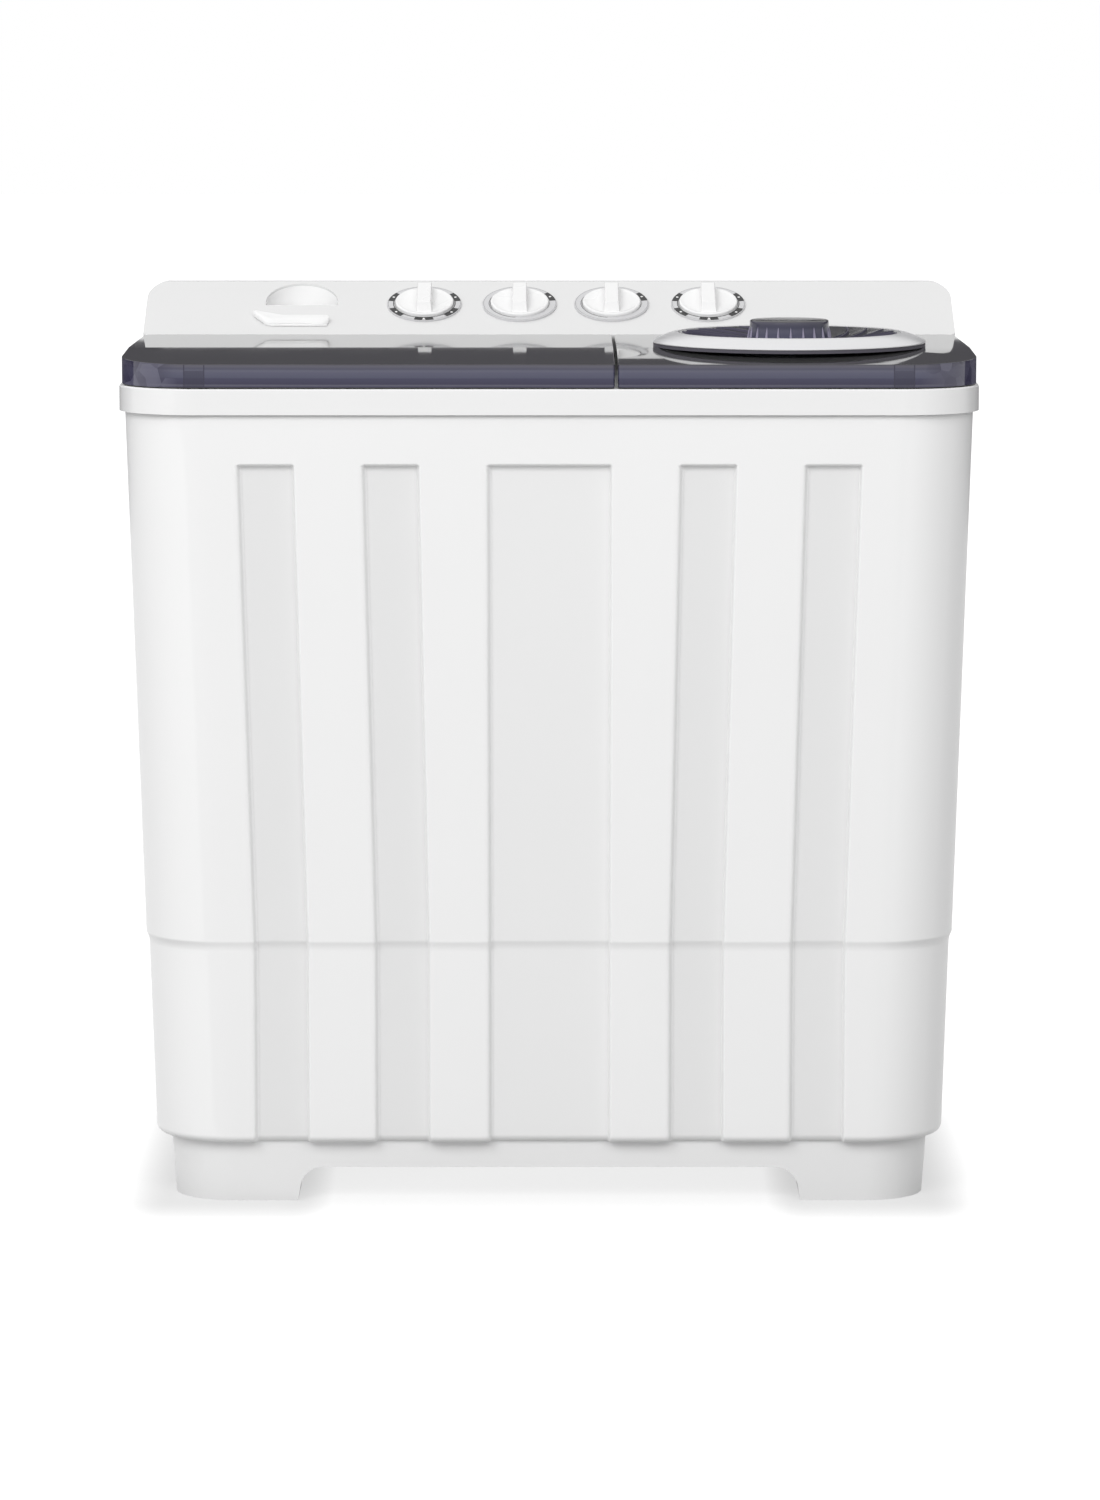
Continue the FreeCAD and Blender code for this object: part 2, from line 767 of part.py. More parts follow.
def make_top_frame():
    outer = block(-half_width, half_width, -half_depth, half_depth, frame_bottom, frame_top,
                  front_corner_radius + lid_side_inset, rear_corner_radius)
    rim = [e for e in outer.Edges if e.BoundBox.ZMin > frame_top - 0.01]
    outer = outer.makeFillet(min(frame_rim_radius, wall * 0.9), rim)
    frame = outer.cut(block(-half_width + wall, half_width - wall, -half_depth + wall,
                            half_depth - wall, frame_bottom - 1.0, frame_under,
                            front_corner_radius + lid_side_inset - wall,
                            rear_corner_radius - wall))
    frame = frame.fuse(wash_opening(lip_width, frame_under, frame_top + lip_height))
    frame = frame.fuse(rod(spin_x, spin_y, frame_under, frame_top + lip_height,
                           spin_mouth_radius + lip_width))
    frame = frame.cut(wash_opening(0.0, frame_bottom, frame_top + 2 * lip_height))
    frame = frame.cut(rod(spin_x, spin_y, frame_bottom, frame_top + 2 * lip_height,
                          spin_mouth_radius))
    for x0, x1 in lid_spans():
        for x in hinge_places(x0, x1):
            frame = frame.fuse(hinge_ear(x))
    for x, y in frame_screw_places():
        frame = frame.cut(screw_hole(x, y, frame_top, 2 * wall))
    return frame.removeSplitter()


# ---------------------------------------------------------------- lids

def lid_outline(x0, x1, outer_side, inset, z):
    """Plan of a lid: a big radius at its outer front corner, drawn in a little at the hinges."""
    radius = lid_corner_radius - inset
    near = max(lid_small_radius - inset, 1.0)
    rear_z = lid_rear - inset
    front = lid_front + inset
    if outer_side < 0:
        points = [(x0 + inset, front), (x1 - inset, front), (x1 - inset, rear_z),
                  (x0 + lid_rear_inset + inset, rear_z)]
        radii = [radius, near, near, 3 * lid_small_radius - inset]
    else:
        points = [(x0 + inset, front), (x1 - inset, front), (x1 - lid_rear_inset - inset, rear_z),
                  (x0 + inset, rear_z)]
        radii = [near, radius, 3 * lid_small_radius - inset, near]
    return rounded_wire([Vector(x, y, z) for x, y in points], radii)


def lid_solid(x0, x1, outer_side, inset, low):
    plan_face = Part.Face(lid_outline(x0, x1, outer_side, inset, low))
    upright = plan_face.extrude(Vector(0, 0, lid_top - low + 1.0))
    top = lid_top - inset
    kink = lid_front + lid_front_zone
    profile = [(lid_front - 1.0, low), (lid_front - 1.0, top - lid_front_drop), (kink, top),
               (lid_rear + 1.0, top), (lid_rear + 1.0, low)]
    return upright.common(side_prism(profile, [0.0] * len(profile), x0 - 1.0, x1 + 1.0))


def make_lid(x0, x1, outer_side):
    lid = lid_solid(x0, x1, outer_side, 0.0, lid_bottom)
    lid = lid.cut(lid_solid(x0, x1, outer_side, wall, lid_bottom - 1.0))
    # the rear is open below the hinge line, so that the lid clears the frame as it swings up
    lid = lid.cut(block(x0 - 1.0, x1 + 1.0, hinge_y, lid_rear + 1.0, lid_bottom - 1.0,
                        hinge_z - hinge_ear_radius))
    for x in hinge_places(x0, x1):
        for side in (-1, 1):
            near = x + side * (hinge_ear_width / 2 + moving_gap)
            start = min(near, near + side * hinge_boss_length)
            boss = Part.makeCylinder(hinge_ear_radius, hinge_boss_length,
                                     Vector(start, hinge_y, hinge_z), Vector(1, 0, 0))
            web = block(start, start + hinge_boss_length, hinge_y - hinge_ear_radius,
                        hinge_y + hinge_ear_radius, hinge_z, lid_top - wall / 2)
            lid = lid.fuse(boss.fuse(web))
        lid = lid.cut(Part.makeCylinder(hinge_pin_radius, hinge_pin_length(),
                                        Vector(x - hinge_pin_length() / 2, hinge_y, hinge_z),
                                        Vector(1, 0, 0)))
        lid = lid.cut(block(x - hinge_ear_width / 2 - moving_gap, x + hinge_ear_width / 2 + moving_gap,
                            hinge_y - hinge_ear_radius - moving_gap, lid_rear + 1.0,
                            lid_bottom - 1.0, lid_top - wall))
    return lid.removeSplitter()


def hinge_pin_length():
    return hinge_ear_width + 2 * moving_gap + 2 * hinge_pin_grip


def make_hinge_pins(x0, x1):
    return [Part.makeCylinder(hinge_pin_radius, hinge_pin_length(),
                              Vector(x - hinge_pin_length() / 2, hinge_y, hinge_z),
                              Vector(1, 0, 0)) for x in hinge_places(x0, x1)]


def make_spin_lid(x0, x1):
    lid = make_lid(x0, x1, 1)
    return lid.cut(rod(spin_x, spin_y, lid_bottom, lid_top + 1.0, vent_hole_radius))


# ---------------------------------------------------------------- vent of the spin lid

def make_vent_bezel():
    edge = lid_top + vent_edge_height
    outline = [(vent_radius, lid_top), (vent_radius, edge),
               (vent_radius - vent_ring_width * 0.5, edge + vent_ring_rise * 0.58),
               (vent_inner + 2.0, vent_top), (vent_inner, vent_top), (vent_inner, lid_top)]
    return turned(spin_x, spin_y, outline)


def make_vent_dish():
    outer = vent_inner - 0.2
    bore = vent_stem_radius + running_gap
    floor_top = lid_top + dish_wall
    outline = [(bore, lid_top), (outer, lid_top), (outer, vent_top - 1.0),
               (outer - dish_wall, vent_top - 1.0), (vent_hub_radius + dish_flat, floor_top),
               (bore, floor_top)]
    dish = turned(spin_x, spin_y, outline)
    half = dish_slot_width / 2
    slot = block(spin_x + vent_hub_radius + dish_slot_start, spin_x + vent_hole_radius - dish_slot_end,
                 spin_y - half, spin_y + half, lid_top - 1.0, vent_top)
    for cutter in spun_copies(slot, spin_x, spin_y, vent_ribs):
        dish = dish.cut(cutter)
    return dish


def make_vent_knob():
    knob = cone(spin_x, spin_y, hub_bottom, hub_top, vent_hub_radius, vent_hub_top_radius)
    knob = knob.cut(cone(spin_x, spin_y, hub_bottom - 1.0, hub_top - wall,
                         vent_hub_radius - wall, vent_hub_top_radius - wall))
    flute = cone(spin_x + vent_hub_radius + flute_offset, spin_y, hub_bottom - 1.0,
                 hub_top - flute_below_top, flute_radius, flute_top_radius)
    for cutter in spun_copies(flute, spin_x, spin_y, vent_flutes):
        knob = knob.cut(cutter)
    stem = rod(spin_x, spin_y, shutter_top, hub_top - wall / 2, vent_stem_radius)
    return knob.fuse(stem).removeSplitter()


def make_vent_shutter():
    shutter = rod(spin_x, spin_y, shutter_top - sheet, shutter_top, shutter_radius)
    half = shutter_slot_width / 2
    slot = block(spin_x + vent_hub_radius + dish_slot_start, spin_x + shutter_radius - dish_slot_end,
                 spin_y - half, spin_y + half, shutter_top - sheet - 1.0, shutter_top + 1.0)
    half_pitch = 180.0 / vent_ribs
    for cutter in spun_copies(slot, spin_x, spin_y, vent_ribs // 2, half_pitch):
        shutter = shutter.cut(cutter)
    return shutter


# ---------------------------------------------------------------- control panel

def panel_outline(inset):
    slope = math.radians(panel_angle)
    drop = inset / math.cos(slope)
    crest_y = panel_front + panel_run
    points = [(panel_front + inset, frame_top - (1.0 if inset else 0.0)),
              (panel_front + inset, lid_top + inset * math.tan(slope) - drop),
              (crest_y - inset * math.tan(slope / 2), height - inset),
              (panel_rear - inset, height - inset),
              (panel_rear - inset, frame_top - (1.0 if inset else 0.0))]
    rear_edge = (panel_rear - crest_y) * 0.7 - inset
    return points, [0.0, panel_sill_radius, panel_crest_radius - inset, rear_edge, 0.0]


def panel_body(inset):
    points, radii = panel_outline(inset)
    side = panel_side - inset
    prism = side_prism(points, radii, -side, side)
    upright = block(-side, side, panel_front + inset, panel_rear - inset,
                    frame_top - 2.0, height + 1.0, panel_front_radius - inset / 2,
                    panel_rear_radius - inset)
    return prism.common(upright)


def filling_mouth(grow, low, high):
    """Half-moon seen from above: straight at the front, round at the back."""
    radius = inlet_radius + grow
    front = panel_front + inlet_setback - grow
    shoulder = panel_front + inlet_setback + inlet_straight
    left = Vector(inlet_x - radius, front, low)
    right = Vector(inlet_x + radius, front, low)
    right_shoulder = Vector(inlet_x + radius, shoulder, low)
    left_shoulder = Vector(inlet_x - radius, shoulder, low)
    crown = Vector(inlet_x, shoulder + radius, low)
    wire = Part.Wire([Part.LineSegment(left, right).toShape(),
                      Part.LineSegment(right, right_shoulder).toShape(),
                      Part.Arc(right_shoulder, crown, left_shoulder).toShape(),
                      Part.LineSegment(left_shoulder, left).toShape()])
    return Part.Face(wire).extrude(Vector(0, 0, high - low))


def lever_slot(half_y, low, high):
    """Slot that the lever's stem slides along."""
    half = lever_stem_width / 2 + moving_gap
    return block(lever_start - half, lever_start + lever_travel + half, lever_y - half_y,
                 lever_y + half_y, low, high)


def make_control_panel():
    shell = panel_body(0.0).cut(panel_body(wall))
    for x in dial_positions:
        shaft_hole = rod(0, 0, -2 * wall, 1.0, control_shaft_radius + shaft_hole_margin)
        shell = shell.cut(on_panel(shaft_hole, x, dial_rise))
    shell = shell.cut(filling_mouth(0.0, lid_top, height + 1.0))
    shell = shell.cut(lever_slot(lever_stem_depth / 2 + moving_gap, lid_top, height))
    for x in (inlet_x, spin_x):
        half = spout_half + running_gap
        shell = shell.cut(block(x - half, x + half, panel_front - 1.0, panel_front + 2 * wall,
                                spout_low - running_gap, spout_high + running_gap))
    return shell.removeSplitter()


def make_dial_rings():
    rings = []
    for x in dial_positions:
        body = ring(0, 0, 0.0, dial_ring_height, dial_ring_radius, dial_ring_radius - dial_ring_width)
        top = [e for e in body.Edges if e.BoundBox.ZMin > dial_ring_height - 0.01]
        rings.append(on_panel(body.makeFillet(0.8, top), x, dial_rise))
    return rings


def make_knob(x):
    """Round knob with a raised grip bar, in its stored position pointing up the slope."""
    disc = rod(0, 0, moving_gap, knob_height, knob_radius)
    rim = [e for e in disc.Edges if e.BoundBox.ZMin > knob_height - 0.01]
    disc = disc.makeFillet(1.5, rim)
    half = handle_width / 2
    reach = handle_length / 2
    top = knob_height + handle_height
    foot = plan(-half, half, -reach, reach, half - 1.0, half - 1.0, knob_height - 1.5)
    crown = plan(-half + 2.0, half - 2.0, -reach + 5.0, reach - 2.0, half - 3.5, half - 3.5, top)
    grip = skin([foot, crown])
    knob = disc.fuse(grip).cut(rod(0, 0, 0.0, control_shaft_length(), control_shaft_radius))
    return on_panel(knob.removeSplitter(), x, dial_rise)


def control_shaft_length():
    return knob_height + handle_height * 0.5


def make_control_shaft(x):
    return on_panel(rod(0, 0, -wall - shaft_well, control_shaft_length(), control_shaft_radius),
                    x, dial_rise)


def make_control_body(x, size):
    """Timer or switch hung from the inside of the panel, with the well its shaft turns in."""
    across, along, drop = size
    body = block(-across / 2, across / 2, -along / 2, along / 2, -wall - drop, -wall, wall, wall)
    body = body.cut(rod(0, 0, -wall - shaft_well - moving_gap, 0.0,
                        control_shaft_radius + running_gap))
    return on_panel(body, x, dial_rise)


# ---------------------------------------------------------------- inlet

def make_inlet_box():
    """Cup under the filling mouth, with a spout that reaches out over the wash tub."""
    cup = filling_mouth(inlet_wall, spout_low, height).common(panel_body(wall))
    mouth_front = panel_front + inlet_setback
    spout = block(inlet_x - spout_half, inlet_x + spout_half, tub_rear - spout_reach,
                  mouth_front, spout_low, spout_high)
    inner_half = spout_half - inlet_wall
    bore = block(inlet_x - inner_half, inlet_x + inner_half, tub_rear - spout_reach - 1.0,
                 mouth_front + 1.0, spout_low + inlet_wall, spout_high - inlet_wall)
    box = cup.fuse(spout).cut(filling_mouth(0.0, spout_low + inlet_wall, height)).cut(bore)
    port = block(inlet_x, inlet_x + spout_half + 1.0, duct_front + inlet_wall,
                 duct_front + duct_width - inlet_wall, spout_low + inlet_wall,
                 spout_high - inlet_wall)
    slot = lever_slot(lever_stem_depth / 2 + moving_gap, spout_high - 2 * inlet_wall,
                      spout_high + 1.0)
    return box.cut(port).cut(slot).removeSplitter()


def make_spin_fill_duct():
    """Square duct from the filling box along the panel and out over the spin basket."""
    start = inlet_x + spout_half
    mouth = spin_y + spin_mouth_radius - spout_reach
    back = duct_front + duct_width
    duct = block(start, spin_x + spout_half, duct_front, back, spout_low, spout_high)
    duct = duct.fuse(block(spin_x - spout_half, spin_x + spout_half, mouth, back, spout_low,
                           spout_high))
    low = spout_low + inlet_wall
    high = spout_high - inlet_wall
    duct = duct.cut(block(start - 1.0, spin_x + spout_half - inlet_wall, duct_front + inlet_wall,
                          back - inlet_wall, low, high))
    duct = duct.cut(block(spin_x - spout_half + inlet_wall, spin_x + spout_half - inlet_wall,
                          mouth - 1.0, back - inlet_wall, low, high))
    return duct.removeSplitter()


def make_inlet_lever():
    """Pointer plate on the slope; its stem and flap steer the water to either tub."""
    outline = [(-50.0, 27.0), (-32.0, -11.0), (-24.0, -15.0), (44.0, -15.0), (44.0, 13.0),
               (-12.0, 13.0)]
    radii = [3.0, 4.0, 4.0, 3.0, 3.0, 8.0]
    wire = rounded_wire([Vector(x, y, moving_gap) for x, y in outline], radii)
    grip = Part.Face(wire).extrude(Vector(0, 0, lever_thickness))
    edges = [e for e in grip.Edges if e.BoundBox.ZMin > lever_thickness]
    grip = on_panel(grip.makeFillet(1.5, edges), lever_start, lever_rise)
    half = lever_stem_width / 2
    flap_low = spout_low + inlet_wall + moving_gap
    stem = block(lever_start - half, lever_start + half, lever_y - lever_stem_depth / 2,
                 lever_y + lever_stem_depth / 2, flap_low, lid_top + lever_rise * 0.5)
    flap = block(lever_start - half, lever_start + half, lever_y - lever_stem_depth / 2,
                 flap_reach, flap_low, spout_high - inlet_wall - moving_gap)
    return grip.fuse(stem).fuse(flap).removeSplitter()


# ---------------------------------------------------------------- wash tub

def tub_section(z, inset):
    drawn = inset + tub_draft * (frame_under - z)
    radius = tub_corner_radius - drawn
    return plan(tub_left + drawn, tub_right - drawn, tub_front + drawn, tub_rear - drawn,
                radius, radius, z)


def tub_shell_solid(floor_z, inset):
    """Tub outline from its rounded floor edge to the frame, drawn in by the inset."""
    radius = tub_floor_radius - inset
    sections = []
    for turn in (0, 30, 60, 90):
        angle = math.radians(turn)
        sections.append(tub_section(floor_z + radius * (1 - math.cos(angle)),
                                    inset + radius * (1 - math.sin(angle))))
    sections.append(tub_section(frame_under, inset))
    return skin(sections)


def make_wash_tub():
    shell = tub_shell_solid(tub_under, -wall)
    shell = shell.fuse(wash_opening(tub_flange, frame_under - wall, frame_under))
    shell = shell.cut(tub_shell_solid(tub_floor, 0.0))
    shell = shell.cut(rod(wash_x, wash_y, tub_under - 1.0, tub_floor + 1.0,
                          housing_nose_radius + 0.2))
    shell = shell.cut(rod(drain_x, drain_y, tub_under - 1.0, tub_floor + 1.0, drain_hole_radius))
    for x, y in housing_bolt_places():
        shell = shell.cut(screw_hole(x, y, tub_floor, 2 * plate))
    return shell.removeSplitter()


def housing_bolt_places():
    reach = (housing_radius + housing_flange_radius) / 2
    return [(wash_x + reach * math.cos(math.radians(a)), wash_y + reach * math.sin(math.radians(a)))
            for a in (45, 135, 225, 315)]


def tub_wall_at(z):
    """X of the tub's right wall inside, at a height."""
    return tub_right - tub_draft * (frame_under - z)


def make_lint_filter():
    """Slotted cassette on the tub's right wall that catches fluff."""
    low = tub_floor + filter_above_floor
    high = low + filter_height
    face = tub_wall_at(low)
    half = filter_width / 2
    cassette = block(face - filter_depth, face, wash_y - half, wash_y + half, low, high, 0.0, 0.0)
    cassette = cassette.cut(block(face - filter_depth + sheet, face + 1.0, wash_y - half + sheet,
                                  wash_y + half - sheet, low + sheet, high - sheet))
    slot_half = half - filter_slot_margin
    for i in range(filter_slots):
        z = low + filter_first_slot + filter_slot_pitch * i
        cassette = cassette.cut(block(face - filter_depth - 1.0, face - filter_depth + 2 * sheet,
                                      wash_y - slot_half, wash_y + slot_half, z,
                                      z + filter_slot_height))
    return cassette


def make_overflow_guard():
    """Grille over the drain and overflow corner of the tub."""
    radius = drain_hole_radius + drain_guard_overlap
    top = tub_floor + guard_height
    guard = ring(drain_x, drain_y, tub_floor, top, radius, radius - sheet)
    cap = rod(drain_x, drain_y, top, top + sheet, radius)
    half = guard_slot_length / 2
    for i in range(-2, 3):
        y = drain_y + guard_bar_pitch * i
        cap = cap.cut(block(drain_x - half, drain_x + half, y - guard_slot_half,
                            y + guard_slot_half, tub_floor, top + 2 * sheet))
    return guard.fuse(cap).removeSplitter()


# ---------------------------------------------------------------- wash drive

def make_bearing_housing():
    top = tub_under
    body = rod(wash_x, wash_y, housing_bottom, top, housing_radius)
    body = body.fuse(rod(wash_x, wash_y, top - housing_flange, top, housing_flange_radius))
    body = body.fuse(rod(wash_x, wash_y, top, tub_floor + housing_nose, housing_nose_radius))
    body = body.cut(rod(wash_x, wash_y, housing_bottom - 1.0, tub_floor + housing_nose + 1.0,
                        wash_shaft_radius + moving_gap))
    for z0, z1 in bush_spans():
        body = body.cut(rod(wash_x, wash_y, z0, z1, bush_radius))
    for x, y in housing_bolt_places():
        body = body.cut(screw_hole(x, y, top, housing_flange))
    return body.removeSplitter()


def bush_spans():
    top = tub_under + plate - 2.0
    return [(housing_bottom, housing_bottom + bush_length), (top - bush_length, top)]


def make_bushes():
    return [ring(wash_x, wash_y, z0, z1, bush_radius, wash_shaft_radius + running_gap)
            for z0, z1 in bush_spans()]


def make_shaft_seal():
    nose = tub_floor + housing_nose
    lip = pulsator_under + 2.0 - moving_gap
    outer = housing_nose_radius + seal_width
    base = ring(wash_x, wash_y, tub_floor, nose, outer, housing_nose_radius)
    cap = ring(wash_x, wash_y, nose, min(nose + sheet, lip + 3.0), outer,
               wash_shaft_radius + running_gap)
    return base.fuse(cap).removeSplitter()


def make_pulsator():
    rim = pulsator_under
    hub = pulsator_hub
    crown = pulsator_crown
    cavity = rim + housing_nose + 2 * sheet
    outline = [(wash_shaft_radius, cavity), (hub, cavity), (hub, rim + 1.0),
               (hub + 3.0, rim + 1.0), (hub + 6.0, cavity), (pulsator_radius * 0.5, rim + 5.0),
               (pulsator_radius - 3.0, rim), (pulsator_radius, rim), (pulsator_radius, rim + 6.0),
               (pulsator_radius * 0.62, rim + 11.0), (hub + 14.0, crown), (wash_shaft_radius, crown)]
    disc = turned(wash_x, wash_y, outline)
    fin_length = pulsator_radius - hub - 18.0
    points = [(wash_x + hub + 6.0, crown - 4.0), (wash_x + hub + 6.0, crown + fin_rise),
              (wash_x + hub + fin_length, rim + 24.0), (wash_x + hub + fin_length + 8.0, rim + 3.0),
              (wash_x + pulsator_radius * 0.6, rim + 7.0)]
    fin = front_prism(points, [0.0, 10.0, 12.0, 0.0, 0.0], wash_y - fin_half, wash_y + fin_half)
    disc = joined([disc] + spun_copies(fin, wash_x, wash_y, pulsator_fins))
    head = rod(wash_x, wash_y, pulsator_shaft_top, crown + 1.0, pulsator_screw_head + moving_gap)
    return disc.cut(head)


def make_pulsator_screw():
    top = pulsator_shaft_top
    head = rod(wash_x, wash_y, top + 1.0, top + 1.0 + pulsator_screw_head_height,
               pulsator_screw_head)
    collar = rod(wash_x, wash_y, top, top + 1.0, wash_shaft_radius - 1.0)
    shank = rod(wash_x, wash_y, top - pulsator_screw_length, top, pulsator_screw_radius)
    return head.fuse(collar).fuse(shank).removeSplitter()


def make_pulsator_shaft():
    top = pulsator_shaft_top
    shaft = rod(wash_x, wash_y, pulley_z - wall, top, wash_shaft_radius)
    return shaft.cut(rod(wash_x, wash_y, top - pulsator_screw_length - 2.0, top + 1.0,
                         pulsator_screw_radius))


def grooved_pulley(x, y, radius, bore, hub):
    """Belt pulley: a flat groove for the belt between two flanges, and a hub on its shaft."""
    z = pulley_z
    flange = (pulley_height - belt_width) / 2 - belt_gap
    floor = radius - belt_thickness
    outline = [(bore, z), (radius, z), (radius, z + flange), (floor, z + flange),
               (floor, z + pulley_height - flange), (radius, z + pulley_height - flange),
               (radius, z + pulley_height), (bore, z + pulley_height)]
    wheel = turned(x, y, outline)
    if floor - hub > 2 * pulley_rim:
        middle = z + pulley_height / 2
        half = pulley_web / 2
        wheel = wheel.cut(ring(x, y, middle + half, z + pulley_height + 1.0, floor - pulley_rim, hub))
        wheel = wheel.cut(ring(x, y, z - 1.0, middle - half, floor - pulley_rim, hub))
        hole_radius = (floor - hub) / 5
        hole = rod(x + (floor + hub) / 2 - 4.0, y, z - 1.0, z + pulley_height + 1.0, hole_radius)
        for cutter in spun_copies(hole, x, y, 6):
            wheel = wheel.cut(cutter)
    return wheel


def belt_loop(radius_large, radius_small, z0, z1):
    """Solid between the two tangent lines that wrap a large circle and a small one."""
    across = motor_x - wash_x
    angle = math.acos((radius_large - radius_small) / across)

    def at(x, radius, turn):
        return Vector(x + radius * math.cos(turn), wash_y + radius * math.sin(turn), z0)

    wire = Part.Wire([
        Part.Arc(at(wash_x, radius_large, angle), at(wash_x, radius_large, math.pi),
                 at(wash_x, radius_large, -angle)).toShape(),
        Part.LineSegment(at(wash_x, radius_large, -angle), at(motor_x, radius_small, -angle)).toShape(),
        Part.Arc(at(motor_x, radius_small, -angle), at(motor_x, radius_small, 0.0),
                 at(motor_x, radius_small, angle)).toShape(),
        Part.LineSegment(at(motor_x, radius_small, angle), at(wash_x, radius_large, angle)).toShape(),
    ])
    return Part.Face(wire).extrude(Vector(0, 0, z1 - z0))


def make_drive_belt():
    z0 = pulley_z + (pulley_height - belt_width) / 2
    inner_large = large_pulley_radius - belt_thickness + belt_gap
    inner_small = small_pulley_radius - belt_thickness + belt_gap
    outer = belt_loop(inner_large + belt_thickness, inner_small + belt_thickness, z0, z0 + belt_width)
    return outer.cut(belt_loop(inner_large, inner_small, z0 - 1.0, z0 + belt_width + 1.0))


def make_motor_housing(x, y, z0, z1, radius):
    """Motor casing: a closed can with a bearing at each end and cooling fins."""
    can = rod(x, y, z0, z1, radius)
    can = can.cut(rod(x, y, z0 + end_bell, z1 - end_bell, radius - wall))
    can = can.fuse(rod(x, y, z1, z1 + motor_neck, motor_shaft_radius + motor_neck_wall))
    can = can.cut(rod(x, y, z0 + end_bell / 2, z1 + motor_neck + 1.0,
                      motor_shaft_radius + running_gap))
    vent = block(x + radius * 0.45, x + radius * 0.78, y - casing_vent_half, y + casing_vent_half,
                 z1 - 2 * end_bell, z1 + 1.0)
    for cutter in spun_copies(vent, x, y, casing_vents, 180.0 / casing_vents):
        can = can.cut(cutter)
    return can.removeSplitter()


def make_motor_rotor(x, y, z0, z1, radius, shaft_end):
    """Rotor pack on its shaft, inside the casing."""
    pack = rod(x, y, z0 + end_bell + rotor_gap, z1 - end_bell - rotor_gap, radius * rotor_share)
    shaft = rod(x, y, z0 + end_bell / 2 + moving_gap, shaft_end, motor_shaft_radius)
    return pack.fuse(shaft).removeSplitter()


def make_motor_stand():
    """Bent steel bridge that carries the wash motor above the base floor."""
    half_x = stand_length / 2
    half_y = stand_width / 2
    reach = half_x - stand_foot
    top = block(motor_x - reach, motor_x + reach, wash_y - half_y, wash_y + half_y,
                motor_bottom - sheet, motor_bottom)
    parts = [top]
    for side in (-1, 1):
        inner = motor_x + side * reach
        leg0 = min(inner, inner + side * sheet)
        parts.append(block(leg0, leg0 + sheet, wash_y - half_y, wash_y + half_y, base_floor,
                           motor_bottom))
        foot0 = min(inner, inner + side * stand_foot)
        parts.append(block(foot0, foot0 + stand_foot, wash_y - half_y, wash_y + half_y, base_floor,
                           base_floor + sheet))
    stand = joined(parts)
    for x, y in stand_bolt_places():
        stand = stand.cut(screw_hole(x, y, base_floor + sheet, 2 * sheet))
    return stand.removeSplitter()


# ---------------------------------------------------------------- spin side

def make_spin_tub():
    outer = spin_radius
    shell = rod(spin_x, spin_y, spin_floor, frame_under, outer)
    shell = shell.fuse(rod(spin_x, spin_y, frame_under - wall, frame_under, outer + spin_tub_flange))
    shell = shell.cut(rod(spin_x, spin_y, spin_floor + plate, frame_under + 1.0, outer - wall))
    shell = shell.cut(rod(spin_x, spin_y, spin_floor - 1.0, spin_floor + plate + 1.0, bellows_hole))
    x, y = spin_drain_place()
    return shell.cut(rod(x, y, spin_floor - 1.0, spin_floor + plate + 1.0, hose_radius - hose_wall))


def spin_drain_place():
    reach = spin_radius - 2 * hose_radius
    across = math.sqrt(reach ** 2 - (drain_y - spin_y) ** 2)
    return spin_x - across, drain_y


def make_bellows():
    """Folded rubber cup that closes the tub floor around the spin shaft's bearing."""
    inner = spin_shaft_radius + running_gap
    top = spin_floor + plate
    outline = [(inner, top - 26.0), (inner + 7.0, top - 26.0), (inner + 7.0, top - 18.0),
               (bellows_hole - 7.0, top - 14.0), (bellows_hole - 0.5, top - 4.0),
               (bellows_hole - 0.5, top), (bellows_hole + 9.0, top), (bellows_hole + 9.0, top + 3.0),
               (bellows_hole - 4.0, top + 3.0), (bellows_hole - 11.0, top - 9.0),
               (inner + 4.0, top - 12.0), (inner + 4.0, top + 2.0), (inner, top + 2.0)]
    return turned(spin_x, spin_y, outline)


def make_basket():
    radius = basket_radius
    bottom = basket_bottom
    top = basket_top
    basket = rod(spin_x, spin_y, bottom, top, radius)
    basket = basket.cut(rod(spin_x, spin_y, bottom + wall, top + 1.0, radius - basket_wall))
    rim = Part.makeTorus(radius - basket_wall / 2, basket_rim_radius * 0.6,
                         Vector(spin_x, spin_y, top), Vector(0, 0, 1))
    basket = basket.fuse(rim)
    dome = cone(spin_x, spin_y, bottom + wall / 2, bottom + 26.0, 52.0, 22.0)
    basket = basket.fuse(dome)
    basket = basket.cut(rod(spin_x, spin_y, bottom - 1.0, bottom + 16.0, spin_shaft_radius))
    hole = Part.makeCylinder(basket_hole_radius, 2 * basket_rim_radius,
                             Vector(spin_x + radius - basket_rim_radius, spin_y, 0.0),
                             Vector(1, 0, 0))
    pitch = (top - bottom - 80.0) / (basket_hole_rows - 1)
    for row in range(basket_hole_rows):
        raised = hole.copy()
        raised.translate(Vector(0, 0, bottom + 40.0 + pitch * row))
        cutters = spun_copies(raised, spin_x, spin_y, basket_hole_columns)
        basket = basket.cut(Part.makeCompound(cutters))
    return basket.removeSplitter()


def make_spin_shaft():
    return rod(spin_x, spin_y, drum_top - drum_web, basket_bottom + 16.0, spin_shaft_radius)


def make_brake_drum():
    drum = rod(spin_x, spin_y, drum_bottom, drum_top, brake_drum_radius)
    drum = drum.cut(ring(spin_x, spin_y, drum_bottom - 1.0, drum_top - drum_web,
                         brake_drum_radius - drum_wall, motor_shaft_radius + drum_hub_wall))
    drum = drum.cut(rod(spin_x, spin_y, drum_bottom - 1.0, drum_top - drum_web, motor_shaft_radius))
    return drum.cut(rod(spin_x, spin_y, drum_top - drum_web, drum_top + 1.0, spin_shaft_radius))


